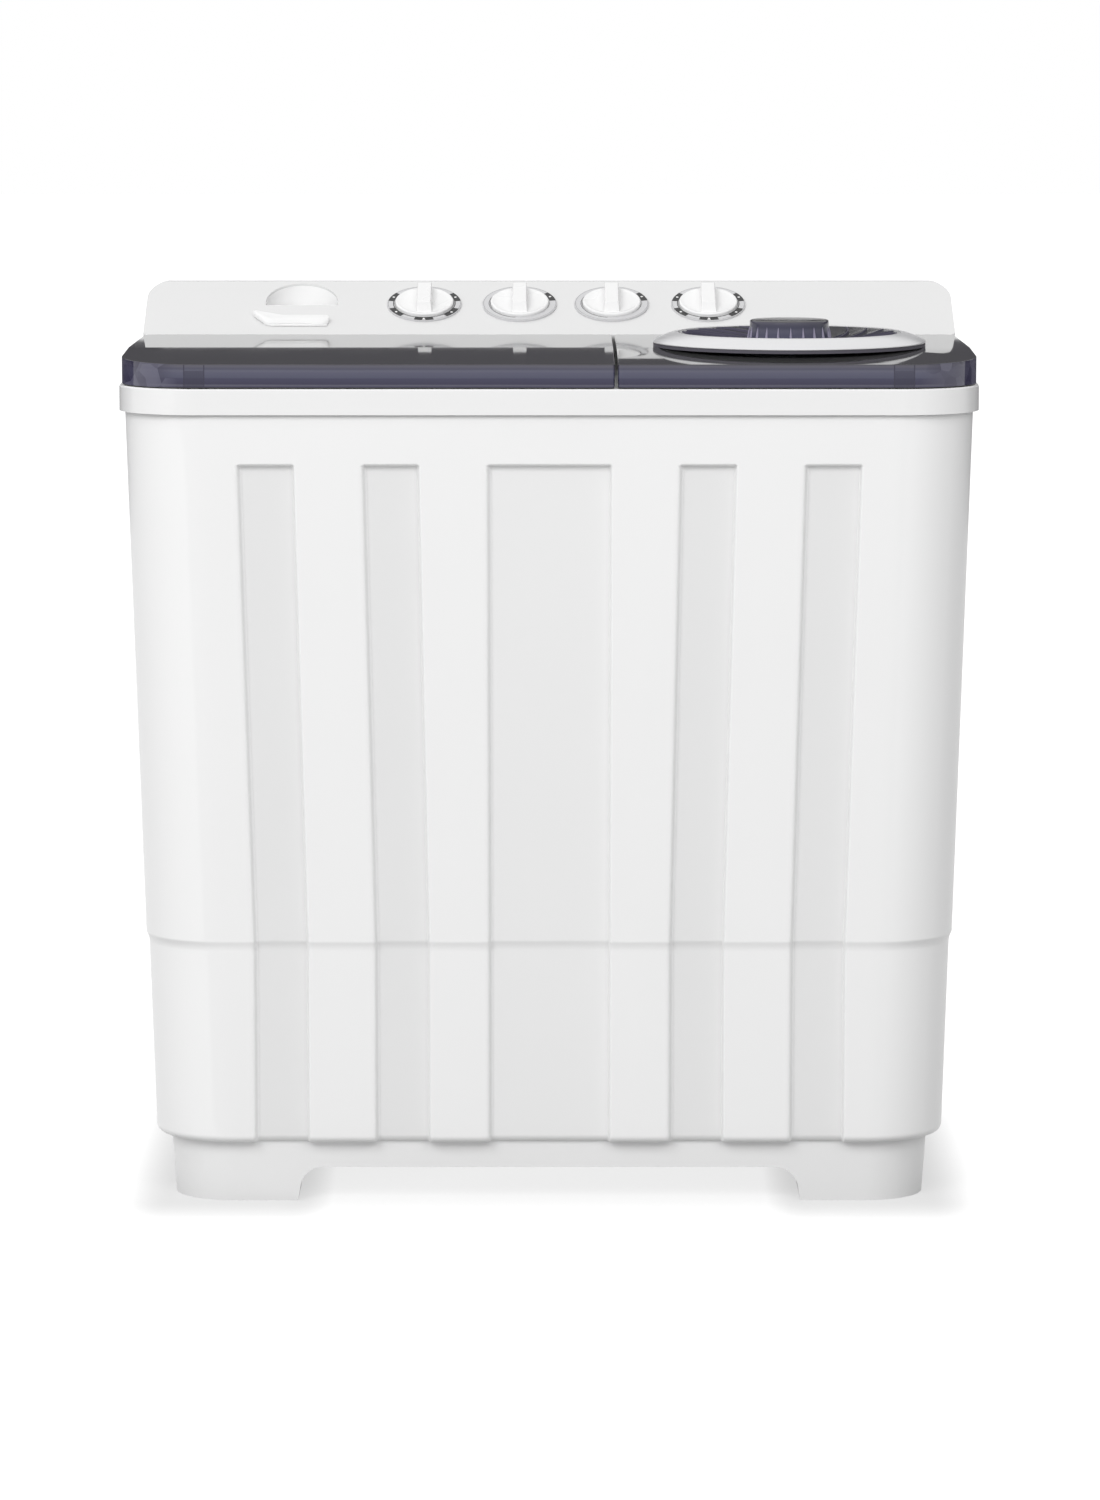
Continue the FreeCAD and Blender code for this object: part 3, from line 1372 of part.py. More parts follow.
def make_motor_plate():
    """Round plate under the spin motor, with the springs' cups and the brake's post."""
    base = rod(spin_x, spin_y, spring_top, spin_motor_bottom, motor_plate_radius)
    for x, y in spring_places():
        base = base.fuse(rod(x, y, spring_top - spring_seat_height, spring_top,
                             spring_seat_radius))
    post = rod(brake_pivot_x, brake_pivot_y, spring_top, brake_post_top, brake_eye_radius)
    pin = rod(brake_pivot_x, brake_pivot_y, brake_post_top, brake_post_top + brake_pin_height,
              brake_pivot_radius)
    return base.fuse(post).fuse(pin).removeSplitter()


def make_brake_arm():
    """Lever beside the drum; its pad comes against the drum when the spin lid is raised."""
    z0 = brake_post_top + moving_gap
    z1 = z0 + brake_arm_height
    x = brake_pivot_x
    arm = block(x - brake_arm_width / 2, x + brake_arm_width / 2, brake_pivot_y,
                spin_y + brake_arm_rear, z0, z1)
    eye = rod(x, brake_pivot_y, z0, z1, brake_eye_radius)
    face = brake_drum_radius + brake_gap
    half = brake_pad_length / 2
    pad = block(spin_x + face - brake_pad_depth, x, spin_y - half, spin_y + half, z0, z1)
    pad = pad.cut(rod(spin_x, spin_y, z0 - 1.0, z1 + 1.0, face))
    arm = joined([arm, eye, pad])
    return arm.cut(rod(x, brake_pivot_y, z0 - 1.0, z1 + 1.0, brake_pivot_radius + running_gap))


def make_springs():
    """Coil springs that let the spin motor and tub sway."""
    low = base_floor + spring_wire
    coil_height = spring_height - 2 * spring_wire
    springs = []
    for x, y in spring_places():
        helix = Part.makeHelix(coil_height / spring_turns, coil_height, spring_radius)
        start = Part.Wire(Part.makeCircle(spring_wire, Vector(spring_radius, 0, 0),
                                          Vector(0, 1, 0)))
        coil = Part.Wire(helix).makePipeShell([start], True, True)
        coil.translate(Vector(x, y, low))
        springs.append(coil)
    return springs


# ---------------------------------------------------------------- drain

def make_drain_valve():
    body = rod(drain_x, drain_y, valve_floor, tub_under, valve_radius)
    body = body.cut(rod(drain_x, drain_y, valve_floor + wall, tub_under + 1.0,
                        valve_radius - wall))
    seat = ring(drain_x, drain_y, seat_z, seat_z + wall, valve_radius - wall / 2,
                drain_hole_radius - valve_seat_lap)
    body = body.fuse(seat)
    body = body.cut(rod(drain_x, drain_y, valve_floor - 1.0, valve_floor + wall + 1.0,
                        valve_stem_radius + running_gap))
    for direction in (Vector(1, 0, 0), rearward):
        start = Vector(drain_x, drain_y, hose_z) + direction * (valve_radius - 2 * wall)
        body = body.cut(Part.makeCylinder(valve_port_radius, 3 * wall, start, direction))
    return body.removeSplitter()


def make_drain_plunger():
    z = seat_z + wall + belt_gap
    cup = rod(drain_x, drain_y, z, z + 8.0, drain_hole_radius + 3.0)
    stem = rod(drain_x, drain_y, valve_floor - 20.0, z + 14.0, valve_stem_radius)
    return cup.fuse(stem).removeSplitter()


def hose_start(direction):
    return Vector(drain_x, drain_y, hose_z) + direction * valve_radius


def make_drain_hose():
    """Rigid hose from the valve to the rear, down and out through the rear cover."""
    start = hose_start(rearward)
    turn_y = outlet_start - hose_bend
    corner = Vector(start.x, turn_y, start.z)
    lower = Vector(start.x, turn_y, outlet_height)
    end = Vector(start.x, half_depth - 1.0, outlet_height)
    points = [start, corner, lower, end]
    outer = pipe(points, hose_bend, hose_radius)
    inner = pipe(points, hose_bend, hose_radius - hose_wall)
    return outer.cut(inner)


def make_spin_drain_hose():
    """Rigid elbow from the spin tub's floor to the side of the valve."""
    x, y = spin_drain_place()
    end = hose_start(Vector(1, 0, 0))
    points = [Vector(x, y, spin_floor), Vector(x, y, end.z), end]
    outer = pipe(points, hose_bend, hose_radius)
    inner = pipe(points, hose_bend, hose_radius - hose_wall)
    return outer.cut(inner)


# ---------------------------------------------------------------- write every piece

wash_span, spin_span = lid_spans()

save("base_frame", make_base())
save("cabinet", make_cabinet())
save("cabinet_screws", *[screw(x, y, base_height + wall, base_screw_length - 1.0)
                         for x, y in base_screw_places()])
save("rear_cover", make_rear_cover())
save("rear_cover_screws", *[screw(x, cabinet_rear + sheet, z, cover_screw_length, rearward)
                            for x, z in cover_screw_places()])
save("top_frame", make_top_frame())
save("top_frame_screws", *[screw(x, y, frame_top, frame_screw_length)
                           for x, y in frame_screw_places()])
save("control_panel", make_control_panel())
save("dial_rings", *make_dial_rings())
save("inlet_box", make_inlet_box())
save("spin_fill_duct", make_spin_fill_duct())
save("inlet_lever", make_inlet_lever())
save("wash_lid", make_lid(*wash_span, -1))
save("wash_lid_hinge_pins", *make_hinge_pins(*wash_span))
save("spin_lid", make_spin_lid(*spin_span))
save("spin_lid_hinge_pins", *make_hinge_pins(*spin_span))
save("vent_bezel", make_vent_bezel())
save("vent_dish", make_vent_dish())
save("vent_knob", make_vent_knob())
save("vent_shutter", make_vent_shutter())
control_names = ["wash_timer", "wash_selector", "drain_selector", "spin_timer"]
for name, x in zip(control_names, dial_positions):
    save(name + "_knob", make_knob(x))
    save(name + "_shaft", make_control_shaft(x))
save("timers", *[make_control_body(x, timer_size) for x in dial_positions[::3]])
save("selector_switches", *[make_control_body(x, switch_size) for x in dial_positions[1:3]])
save("wash_tub", make_wash_tub())
save("lint_filter", make_lint_filter())
save("drain_guard", make_overflow_guard())
save("bearing_housing", make_bearing_housing())
save("shaft_bushes", *make_bushes())
save("shaft_seal", make_shaft_seal())
save("pulsator", make_pulsator())
save("pulsator_screw", make_pulsator_screw())
save("pulsator_shaft", make_pulsator_shaft())
save("large_pulley", grooved_pulley(wash_x, wash_y, large_pulley_radius, wash_shaft_radius,
                                    wash_shaft_radius + pulley_hub_wall))
save("motor_pulley", grooved_pulley(motor_x, wash_y, small_pulley_radius, motor_shaft_radius,
                                    motor_shaft_radius + small_pulley_hub_wall))
save("drive_belt", make_drive_belt())
save("wash_motor_housing", make_motor_housing(motor_x, wash_y, motor_bottom, motor_top,
                                              motor_radius))
save("wash_motor_rotor", make_motor_rotor(motor_x, wash_y, motor_bottom, motor_top, motor_radius,
                                          pulley_z + pulley_height + 2.0))
save("wash_motor_stand", make_motor_stand())
housing_screws = [screw(x, y, tub_floor, plate + 8.0) for x, y in housing_bolt_places()]
stand_screws = [screw(x, y, base_floor + sheet, sheet + plate - 1.0)
                for x, y in stand_bolt_places()]
save("drive_screws", *housing_screws, *stand_screws)
save("spin_outer_tub", make_spin_tub())
save("spin_seal_bellows", make_bellows())
save("spin_basket", make_basket())
save("spin_shaft", make_spin_shaft())
save("brake_drum", make_brake_drum())
save("brake_arm", make_brake_arm())
save("spin_motor_housing", make_motor_housing(spin_x, spin_y, spin_motor_bottom, spin_motor_top,
                                              spin_motor_radius))
save("spin_motor_rotor", make_motor_rotor(spin_x, spin_y, spin_motor_bottom, spin_motor_top,
                                          spin_motor_radius, drum_top - drum_web - moving_gap))
save("spin_motor_plate", make_motor_plate())
save("mount_springs", *make_springs())
save("drain_valve_body", make_drain_valve())
save("drain_plunger", make_drain_plunger())
save("drain_hose", make_drain_hose())
save("spin_drain_hose", make_spin_drain_hose())
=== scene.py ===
import math

import bmesh
import bpy
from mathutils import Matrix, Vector


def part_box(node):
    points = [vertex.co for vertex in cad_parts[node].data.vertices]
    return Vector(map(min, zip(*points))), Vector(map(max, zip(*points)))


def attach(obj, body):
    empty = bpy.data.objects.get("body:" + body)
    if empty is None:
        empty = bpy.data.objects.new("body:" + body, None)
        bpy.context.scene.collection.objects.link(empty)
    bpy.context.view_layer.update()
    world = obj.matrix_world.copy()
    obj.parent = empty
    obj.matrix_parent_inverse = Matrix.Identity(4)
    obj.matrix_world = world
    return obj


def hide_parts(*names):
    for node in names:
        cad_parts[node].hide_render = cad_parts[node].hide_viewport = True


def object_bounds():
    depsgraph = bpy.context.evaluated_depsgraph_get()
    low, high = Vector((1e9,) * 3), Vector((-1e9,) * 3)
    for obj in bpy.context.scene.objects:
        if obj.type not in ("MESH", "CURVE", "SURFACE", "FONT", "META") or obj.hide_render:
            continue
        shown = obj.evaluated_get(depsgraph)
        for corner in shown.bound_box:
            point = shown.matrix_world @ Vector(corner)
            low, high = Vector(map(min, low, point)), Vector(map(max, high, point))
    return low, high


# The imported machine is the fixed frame: every place below is worked out from its boxes.
# A twin tub washer: white moulded cabinet on a footed base, a bright top frame, two smoked lids
# and a sloping dial panel. Metres, +X right, +Y back, +Z up.
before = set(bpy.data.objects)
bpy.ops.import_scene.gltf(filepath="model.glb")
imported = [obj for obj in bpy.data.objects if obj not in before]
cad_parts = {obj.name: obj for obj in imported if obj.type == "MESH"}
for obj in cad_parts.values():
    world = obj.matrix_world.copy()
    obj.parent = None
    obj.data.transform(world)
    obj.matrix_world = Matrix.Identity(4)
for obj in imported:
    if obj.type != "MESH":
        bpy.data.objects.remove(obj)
cad_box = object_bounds()


# ---------------------------------------------------------------- camera
# A long lens at a small downward tilt, as a catalogue view is taken.

low, high = cad_box
viewing_distance = 7.0
viewing_height = 1.446
viewing_tilt = math.radians(7.4)

camera_data = bpy.data.cameras.new("catalogue_camera")
camera_data.sensor_width = 36.0
camera_data.lens = 147.0
camera = bpy.data.objects.new("catalogue_camera", camera_data)
camera.location = (0.001, low[1] - viewing_distance, viewing_height)
camera.rotation_euler = (math.radians(90.0) - viewing_tilt, 0.0, 0.0)
bpy.context.collection.objects.link(camera)
bpy.context.scene.camera = camera


# ---------------------------------------------------------------- floor, light and surroundings
# A pale floor that glows white and keeps the machine's soft shadow, with a painted shadow in its
# glow round the body and the feet; white all round. Two large soft lamps light the front; dark
# cards behind, met only by mirror rays, give the lids their grey.

def new_material(name):
    material = bpy.data.materials.new(name)
    material.use_nodes = True
    nodes = material.node_tree.nodes
    links = material.node_tree.links
    shader = nodes["Principled BSDF"]
    return material, nodes, links, shader


def link_object(name, mesh):
    thing = bpy.data.objects.new(name, mesh)
    bpy.context.collection.objects.link(thing)
    return thing


def flat_mesh(name, corners):
    mesh = bpy.data.meshes.new(name)
    mesh.from_pydata(corners, [], [tuple(range(len(corners)))])
    return mesh


def softbox(name, place, power):
    """Square area lamp that faces the front of the machine and isn't mirrored in it."""
    data = bpy.data.lights.new(name, "AREA")
    data.size = softbox_size
    data.energy = power
    lamp = bpy.data.objects.new(name, data)
    lamp.location = place
    direction = Vector(softbox_aim) - Vector(place)
    lamp.rotation_euler = direction.to_track_quat("-Z", "Y").to_euler()
    lamp.visible_glossy = False
    bpy.context.collection.objects.link(lamp)


floor_reach = 30.0
side_falloff = 2.2
# Boxes round the body and round the feet where the floor's glow is dimmed into a painted shadow.
body_shade_half = (0.44, 0.25, 1.0)
feet_shade_centre = (0.372, 0.0, 0.0)
feet_shade_half = (0.073, 0.2526, 1.0)
floor_bounce = 0.15
floor = link_object("studio_floor", flat_mesh("studio_floor", [
    (-floor_reach, -floor_reach, 0.0), (floor_reach, -floor_reach, 0.0),
    (floor_reach, floor_reach, 0.0), (-floor_reach, floor_reach, 0.0)]))
floor_paint, nodes, links, shader = new_material("pale_floor")
shader.inputs["Base Color"].default_value = (0.22, 0.22, 0.22, 1.0)
place = nodes.new("ShaderNodeTexCoord")


def vector_step(operation, given, value=None):
    step = nodes.new("ShaderNodeVectorMath")
    step.operation = operation
    links.new(given, step.inputs[0])
    if value:
        step.inputs[1].default_value = value
    return step.outputs["Value" if operation == "LENGTH" else "Vector"]


def glow_with_painted_shadow(centre, half, reach, near_strength):
    """Floor glow that grows outwards from the edge of a box, mirrored over both axes: a painted
    shadow, dimmest at the box.
    """
    folded = vector_step("ABSOLUTE", place.outputs["Object"])
    folded = vector_step("ABSOLUTE", vector_step("SUBTRACT", folded, centre))
    outside = vector_step("MAXIMUM", vector_step("SUBTRACT", folded, half), (0.0, 0.0, 0.0))
    outside = vector_step("MULTIPLY", outside, (side_falloff, 1.0, 1.0))
    growth = nodes.new("ShaderNodeMapRange")
    growth.interpolation_type = "SMOOTHSTEP"
    growth.inputs["From Max"].default_value = reach
    growth.inputs["To Min"].default_value = near_strength
    links.new(vector_step("LENGTH", outside), growth.inputs["Value"])
    return growth.outputs["Result"]


# The floor's glow is dimmed round the body and round each foot: a painted contact shadow. Diffuse
# rays see only a share of the glow.
glow = nodes.new("ShaderNodeMath")
glow.operation = "MINIMUM"
links.new(glow_with_painted_shadow((0.0, 0.0, 0.0), body_shade_half, 0.22, 0.78), glow.inputs[0])
links.new(glow_with_painted_shadow(feet_shade_centre, feet_shade_half, 0.20, 0.57), glow.inputs[1])
rays = nodes.new("ShaderNodeLightPath")
dimmed = nodes.new("ShaderNodeMapRange")
dimmed.inputs["To Min"].default_value = 1.0
dimmed.inputs["To Max"].default_value = floor_bounce
links.new(rays.outputs["Is Diffuse Ray"], dimmed.inputs["Value"])
strength = nodes.new("ShaderNodeMath")
strength.operation = "MULTIPLY"
links.new(glow.outputs[0], strength.inputs[0])
links.new(dimmed.outputs["Result"], strength.inputs[1])
links.new(strength.outputs[0], shader.inputs["Emission Strength"])
shader.inputs["Emission Color"].default_value = (1.0, 1.0, 1.0, 1.0)
shader.inputs["Roughness"].default_value = 0.9
shader.inputs["Specular IOR Level"].default_value = 0.2
floor.data.materials.append(floor_paint)

world = bpy.data.worlds.new("white_surroundings")
bpy.context.scene.world = world
world.use_nodes = True
world_nodes = world.node_tree.nodes
world_links = world.node_tree.links
sky = world_nodes["Background"]
sky.inputs["Color"].default_value = (1.0, 1.0, 1.0, 1.0)
rays = world_nodes.new("ShaderNodeLightPath")
seen = world_nodes.new("ShaderNodeMath")
seen.operation = "MAXIMUM"
world_links.new(rays.outputs["Is Camera Ray"], seen.inputs[0])
world_links.new(rays.outputs["Is Glossy Ray"], seen.inputs[1])
seen_through = world_nodes.new("ShaderNodeMath")
seen_through.operation = "MAXIMUM"
world_links.new(seen.outputs[0], seen_through.inputs[0])
world_links.new(rays.outputs["Is Transmission Ray"], seen_through.inputs[1])
direction = world_nodes.new("ShaderNodeTexCoord")
sides = world_nodes.new("ShaderNodeSeparateXYZ")
world_links.new(direction.outputs["Generated"], sides.inputs["Vector"])
from_left = world_nodes.new("ShaderNodeMapRange")
from_left.inputs["From Min"].default_value = -1.0
from_left.inputs["To Min"].default_value = 0.90
from_left.inputs["To Max"].default_value = 0.34
world_links.new(sides.outputs["X"], from_left.inputs["Value"])
strength = world_nodes.new("ShaderNodeMapRange")
world_links.new(from_left.outputs["Result"], strength.inputs["To Min"])
world_links.new(seen_through.outputs[0], strength.inputs["Value"])
world_links.new(strength.outputs["Result"], sky.inputs["Strength"])

softbox_size = 4.0
softbox_aim = (0.0, 0.0, 0.30)
softbox("front_left_softbox", (-3.6, -6.6, 5.3), 304.0)
softbox("front_right_softbox", (2.8, -6.8, 4.9), 192.0)

flag_width = 4.0
flag_low = high[2] - 0.020
flag_high = high[2] + 0.232
flag_distance = high[1] + 0.35
card_low = 0.70
card_high = 0.955
flag = link_object("dark_flag", flat_mesh("dark_flag", [
    (-flag_width, flag_distance, flag_low), (flag_width, flag_distance, flag_low),
    (flag_width, flag_distance, flag_high), (-flag_width, flag_distance, flag_high)]))
flag_cloth, nodes, links, shader = new_material("flag_cloth")
shader.inputs["Base Color"].default_value = (0.0, 0.0, 0.0, 1.0)
shader.inputs["Emission Color"].default_value = (0.078, 0.075, 0.085, 1.0)
shader.inputs["Emission Strength"].default_value = 1.0
shader.inputs["Specular IOR Level"].default_value = 0.0
flag.data.materials.append(flag_cloth)
cards = [flag]
for name, near, far in (("left_card", -0.60, -2.6), ("right_card", 0.60, 2.6)):
    cards.append(link_object(name, flat_mesh(name, [
        (near, flag_distance, card_low), (far, flag_distance, card_low),
        (far, flag_distance, card_high), (near, flag_distance, card_high)])))
    cards[-1].data.materials.append(flag_cloth)
for card in cards:
    card.visible_camera = False
    card.visible_diffuse = False
    card.visible_transmission = False
    card.visible_shadow = False

bpy.context.scene.view_settings.view_transform = "Standard"


# ---------------------------------------------------------------- cabinet
# One moulded shell of white plastic, drafted all round. Five grooves stiffen its front and a
# shallow step runs round it above the floor of the tubs; the lower edge turns in over the base.

def moulded_plastic(name, colour, roughness, grain=0.00004, mottle=0.012, coat=0.0):
    """Moulded plastic: a faint cloud in the colour and gloss, and the mould's fine grain."""
    material, nodes, links, shader = new_material(name)
    place = nodes.new("ShaderNodeTexCoord")
    cloud = nodes.new("ShaderNodeTexNoise")
    cloud.inputs["Scale"].default_value = 6.0
    cloud.inputs["Detail"].default_value = 3.0
    links.new(place.outputs["Object"], cloud.inputs["Vector"])
    tint = nodes.new("ShaderNodeMix")
    tint.data_type = "RGBA"
    tint.inputs["A"].default_value = [c * (1.0 - mottle) for c in colour] + [1.0]
    tint.inputs["B"].default_value = [min(1.0, c * (1.0 + mottle)) for c in colour] + [1.0]
    links.new(cloud.outputs["Fac"], tint.inputs["Factor"])
    links.new(tint.outputs["Result"], shader.inputs["Base Color"])
    gloss = nodes.new("ShaderNodeMapRange")
    gloss.inputs["To Min"].default_value = roughness * 0.92
    gloss.inputs["To Max"].default_value = roughness * 1.08
    links.new(cloud.outputs["Fac"], gloss.inputs["Value"])
    links.new(gloss.outputs["Result"], shader.inputs["Roughness"])
    texture = nodes.new("ShaderNodeTexNoise")
    texture.inputs["Scale"].default_value = 900.0
    texture.inputs["Detail"].default_value = 2.0
    links.new(place.outputs["Object"], texture.inputs["Vector"])
    bump = nodes.new("ShaderNodeBump")
    bump.inputs["Strength"].default_value = 0.25
    bump.inputs["Distance"].default_value = grain
    links.new(texture.outputs["Fac"], bump.inputs["Height"])
    links.new(bump.outputs["Normal"], shader.inputs["Normal"])
    shader.inputs["Coat Weight"].default_value = coat
    shader.inputs["Coat Roughness"].default_value = 0.08
    return material


def quads_between(rings, around):
    """Faces between neighbouring rings of the same count of points."""
    faces = []
    for lower in range(rings - 1):
        for step in range(around):
            after = (step + 1) % around
            faces.append((lower * around + step, lower * around + after,
                          (lower + 1) * around + after, (lower + 1) * around + step))
    return faces


def smooth(mesh, angle=32.0):
    mesh.shade_smooth()
    mesh.set_sharp_from_angle(angle=math.radians(angle))


def even_normals(thing):
    weighted = thing.modifiers.new("even_normals", "WEIGHTED_NORMAL")
    weighted.keep_sharp = True
    weighted.weight = 80


def thicken(thing, wall):
    shell = thing.modifiers.new("wall", "SOLIDIFY")
    shell.thickness = wall
    shell.offset = -1.0
    shell.use_even_offset = True


def dress(piece, body, node, material):
    """Put the finish on a piece that stands for a CAD node and rides on its body."""
    if piece.data.materials:
        piece.data.materials.clear()
    piece.data.materials.append(material)
    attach(piece, body)
    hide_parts(node)


cabinet_low, cabinet_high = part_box("cabinet")
frame_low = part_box("top_frame")[0]
wall_thickness = 0.003
side_draft = 0.031
front_draft = 0.013
cabinet_top = cabinet_high[2]
cabinet_bottom = cabinet_low[2]
front_corner = 0.092
rear_corner = 0.056
lower_round = 0.009
lower_flange = 0.046
step_height = cabinet_bottom + 0.234
step_in = 0.003
groove_depth = 0.009
groove_top = frame_low[2] - 0.057
service_side = 0.3323
service_low = cabinet_bottom + 0.024
service_high = service_low + 0.560
groove_wall = [(-0.0016, 0.0), (-0.0003, 0.03), (0.0007, 0.14), (0.0013, 0.32), (0.0018, 0.62),
               (0.0023, 0.86), (0.0032, 0.97), (0.0046, 1.0)]
left_wall_slope = 1.8
groove_narrowing = 0.001
groove_reach = 0.37
wide_groove_reach = 0.08
cabinet_tone = 0.835
groove_spans = [(-0.3599, -0.2924, 0.0149), (-0.2162, -0.1487, 0.0118), (-0.0725, 0.0725, 0.0),
                (0.1487, 0.2162, -0.0118), (0.2924, 0.3599, -0.0149)]


def cabinet_outline(z, inset, below, sunk):
    """One closed ring round the cabinet, from its front left corner and counterclockwise."""
    side = cabinet_high[0] - side_draft * (cabinet_top - z) - step_in * below - inset
    face = cabinet_low[1] + front_draft * (cabinet_top - z) + step_in * below + inset
    rear = cabinet_high[1] - inset
    front_radius = front_corner - inset
    rear_radius = rear_corner - inset
    flat = side - front_radius
    fallen = min(1.0, max(0.0, (groove_top - z) / (groove_top - step_height)))
    points = [(-flat, face)]
    for left, right, lean in groove_spans:
        start = left + (lean + groove_narrowing) * fallen
        end = right + (lean - groove_narrowing) * fallen
        edges = [(start + offset * left_wall_slope, part) for offset, part in groove_wall]
        edges += [(end - offset, part) for offset, part in groove_wall[::-1]]
        points += [(x, face + groove_depth * part * sunk) for x, part in edges]
    points.append((flat, face))
    for turn in range(1, 17):
        angle = math.radians(90.0 * turn / 16)
        points.append((flat + front_radius * math.sin(angle),
                       face + front_radius * (1.0 - math.cos(angle))))
    points.append((side, 0.0))
    for turn in range(0, 11):
        angle = math.radians(9.0 * turn)
        points.append((side - rear_radius * (1.0 - math.cos(angle)),
                       rear - rear_radius * (1.0 - math.sin(angle))))
    points += [(service_side, rear), (-service_side, rear)]
    for turn in range(10, -1, -1):
        angle = math.radians(9.0 * turn)
        points.append((-side + rear_radius * (1.0 - math.cos(angle)),
                       rear - rear_radius * (1.0 - math.sin(angle))))
    points.append((-side, 0.0))
    for turn in range(16, 0, -1):
        angle = math.radians(90.0 * turn / 16)
        points.append((-flat - front_radius * math.sin(angle),
                       face + front_radius * (1.0 - math.cos(angle))))
    return [(x, y, z) for x, y in points]


levels = [(cabinet_bottom, lower_flange, 1.0, 0.0), (cabinet_bottom, 0.020, 1.0, 1.0)]
for turn in range(0, 7):
    angle = math.radians(15.0 * turn)
    levels.append((cabinet_bottom + lower_round * (1.0 - math.cos(angle)),
                   lower_round * (1.0 - math.sin(angle)), 1.0, 1.0))
levels.append((service_low, 0.0, 1.0, 1.0))
for rise, below in [(-0.0075, 1.0), (-0.0045, 0.93), (-0.0015, 0.72), (0.001, 0.45),
                    (0.003, 0.18), (0.0042, 0.06), (0.0055, 0.0)]:
    levels.append((step_height + rise, 0.0, below, 1.0))
levels.append((service_high, 0.0, 0.0, 1.0))
for offset, part in groove_wall[::-1]:
    levels.append((groove_top - offset, 0.0, 0.0, part))
levels.append((cabinet_top, 0.0, 0.0, 0.0))
points = []
for level in levels:
    ring = cabinet_outline(*level)
    points += ring
around = len(ring)
faces = []
for quad in quads_between(len(levels), around):
    middle = [sum(points[i][axis] for i in quad) / 4.0 for axis in range(3)]
    opening = (middle[1] > cabinet_high[1] - 0.001 and abs(middle[0]) < service_side
               and service_low < middle[2] < service_high)
    if not opening:
        faces.append(quad)
mesh = bpy.data.meshes.new("cabinet_shell")
mesh.from_pydata(points, [], faces)
# Groove floors get darker copies of the cabinet white, less dark in the wide middle groove:
# painted shade in the recesses.
for face in mesh.polygons:
    middle = face.center
    deep = cabinet_low[1] + front_draft * (cabinet_top - middle[2]) + groove_depth * 0.5
    if deep < middle[1] < -0.2 and abs(middle[0]) < groove_reach and face.normal[1] < -0.9:
        face.material_index = 2 if abs(middle[0]) < wide_groove_reach else 1
smooth(mesh, 40.0)
cabinet = link_object("cabinet_shell", mesh)
thicken(cabinet, wall_thickness)
even_normals(cabinet)
cabinet_white = moulded_plastic("cabinet_white", (cabinet_tone, cabinet_tone, cabinet_tone), 0.38)
dress(cabinet, "washer_body", "cabinet", cabinet_white)
# The two darker copies of the cabinet white for the groove floors: painted shade.
for name, share in (("groove_white", 0.90), ("wide_groove_white", 0.945)):
    tone = cabinet_tone * share
    cabinet.data.materials.append(moulded_plastic(name, (tone, tone, tone), 0.42))


# ---------------------------------------------------------------- base, frame, panel, rear cover
# The footed base and the bright frame that holds the tubs, the sloping panel and the service
# cover: shapes as constructed, with their moulded edges rounded.

def merged_copy(node, flatten=True):
    """A CAD node's shape as one joined surface, flat areas without their inner edges."""
    source = bpy.data.objects[node]
    shape = bmesh.new()
    shape.from_mesh(source.data)
    bmesh.ops.transform(shape, matrix=source.matrix_world, verts=shape.verts)
    bmesh.ops.remove_doubles(shape, verts=shape.verts, dist=0.00001)
    if flatten:
        bmesh.ops.dissolve_limit(shape, angle_limit=math.radians(1.0),
                                 use_dissolve_boundaries=False, verts=shape.verts,
                                 edges=shape.edges)
    mesh = bpy.data.meshes.new(node + "_finish")
    shape.to_mesh(mesh)
    shape.free()
    return mesh


def rounded_copy(node, edge, segments=3, limit=38.0):
    """A CAD node's shape with its sharp edges rounded, ready for its finish."""
    mesh = merged_copy(node)
    smooth(mesh, 30.0)
    piece = link_object(node + "_finish", mesh)
    bevel = piece.modifiers.new("moulded_edges", "BEVEL")
    bevel.width = edge
    bevel.segments = segments
    bevel.limit_method = "ANGLE"
    bevel.angle_limit = math.radians(limit)
    bevel.harden_normals = False
    bevel.use_clamp_overlap = True
    even_normals(piece)
    return piece


def paint(node, material):
    """Give a CAD node that stays in view its finish."""
    slots = bpy.data.objects[node].material_slots
    for entry in slots:
        entry.material = material


base_white = moulded_plastic("base_white", (0.79, 0.79, 0.79), 0.42)
base = rounded_copy("base_frame", 0.0012)
dress(base, "washer_body", "base_frame", base_white)

frame_white = moulded_plastic("frame_white", (0.80, 0.80, 0.80), 0.26, coat=0.25)
top_frame = rounded_copy("top_frame", 0.0006, 2)
dress(top_frame, "washer_body", "top_frame", frame_white)

panel_white = moulded_plastic("panel_white", (0.745, 0.745, 0.745), 0.2, 0.00001, coat=0.3)
panel = rounded_copy("control_panel", 0.0008)
dress(panel, "washer_body", "control_panel", panel_white)

# A grey strip round the cabinet just under the frame's lower edge: a painted shadow line for the
# gap between frame and cabinet.
joint_bottom = frame_low[2] - 0.0016
joint_top = frame_low[2] + 0.0005
line_levels = [(joint_bottom, 0.0010), (joint_bottom, -0.0004), (joint_top, -0.0004),
               (joint_top, 0.0010)]
points = []
for z, inset in line_levels:
    points += cabinet_outline(z, inset, 0.0, 0.0)
mesh = bpy.data.meshes.new("frame_joint_line")
mesh.from_pydata(points, [], quads_between(len(line_levels), len(points) // len(line_levels)))
joint_line = link_object("frame_joint_line", mesh)
joint_painted_shadow = moulded_plastic("joint_painted_shadow", (0.74, 0.74, 0.74), 0.5)
mesh.materials.append(joint_painted_shadow)
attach(joint_line, "washer_body")

rear_cover = rounded_copy("rear_cover", 0.0006, 2)
dress(rear_cover, "washer_body", "rear_cover", cabinet_white)
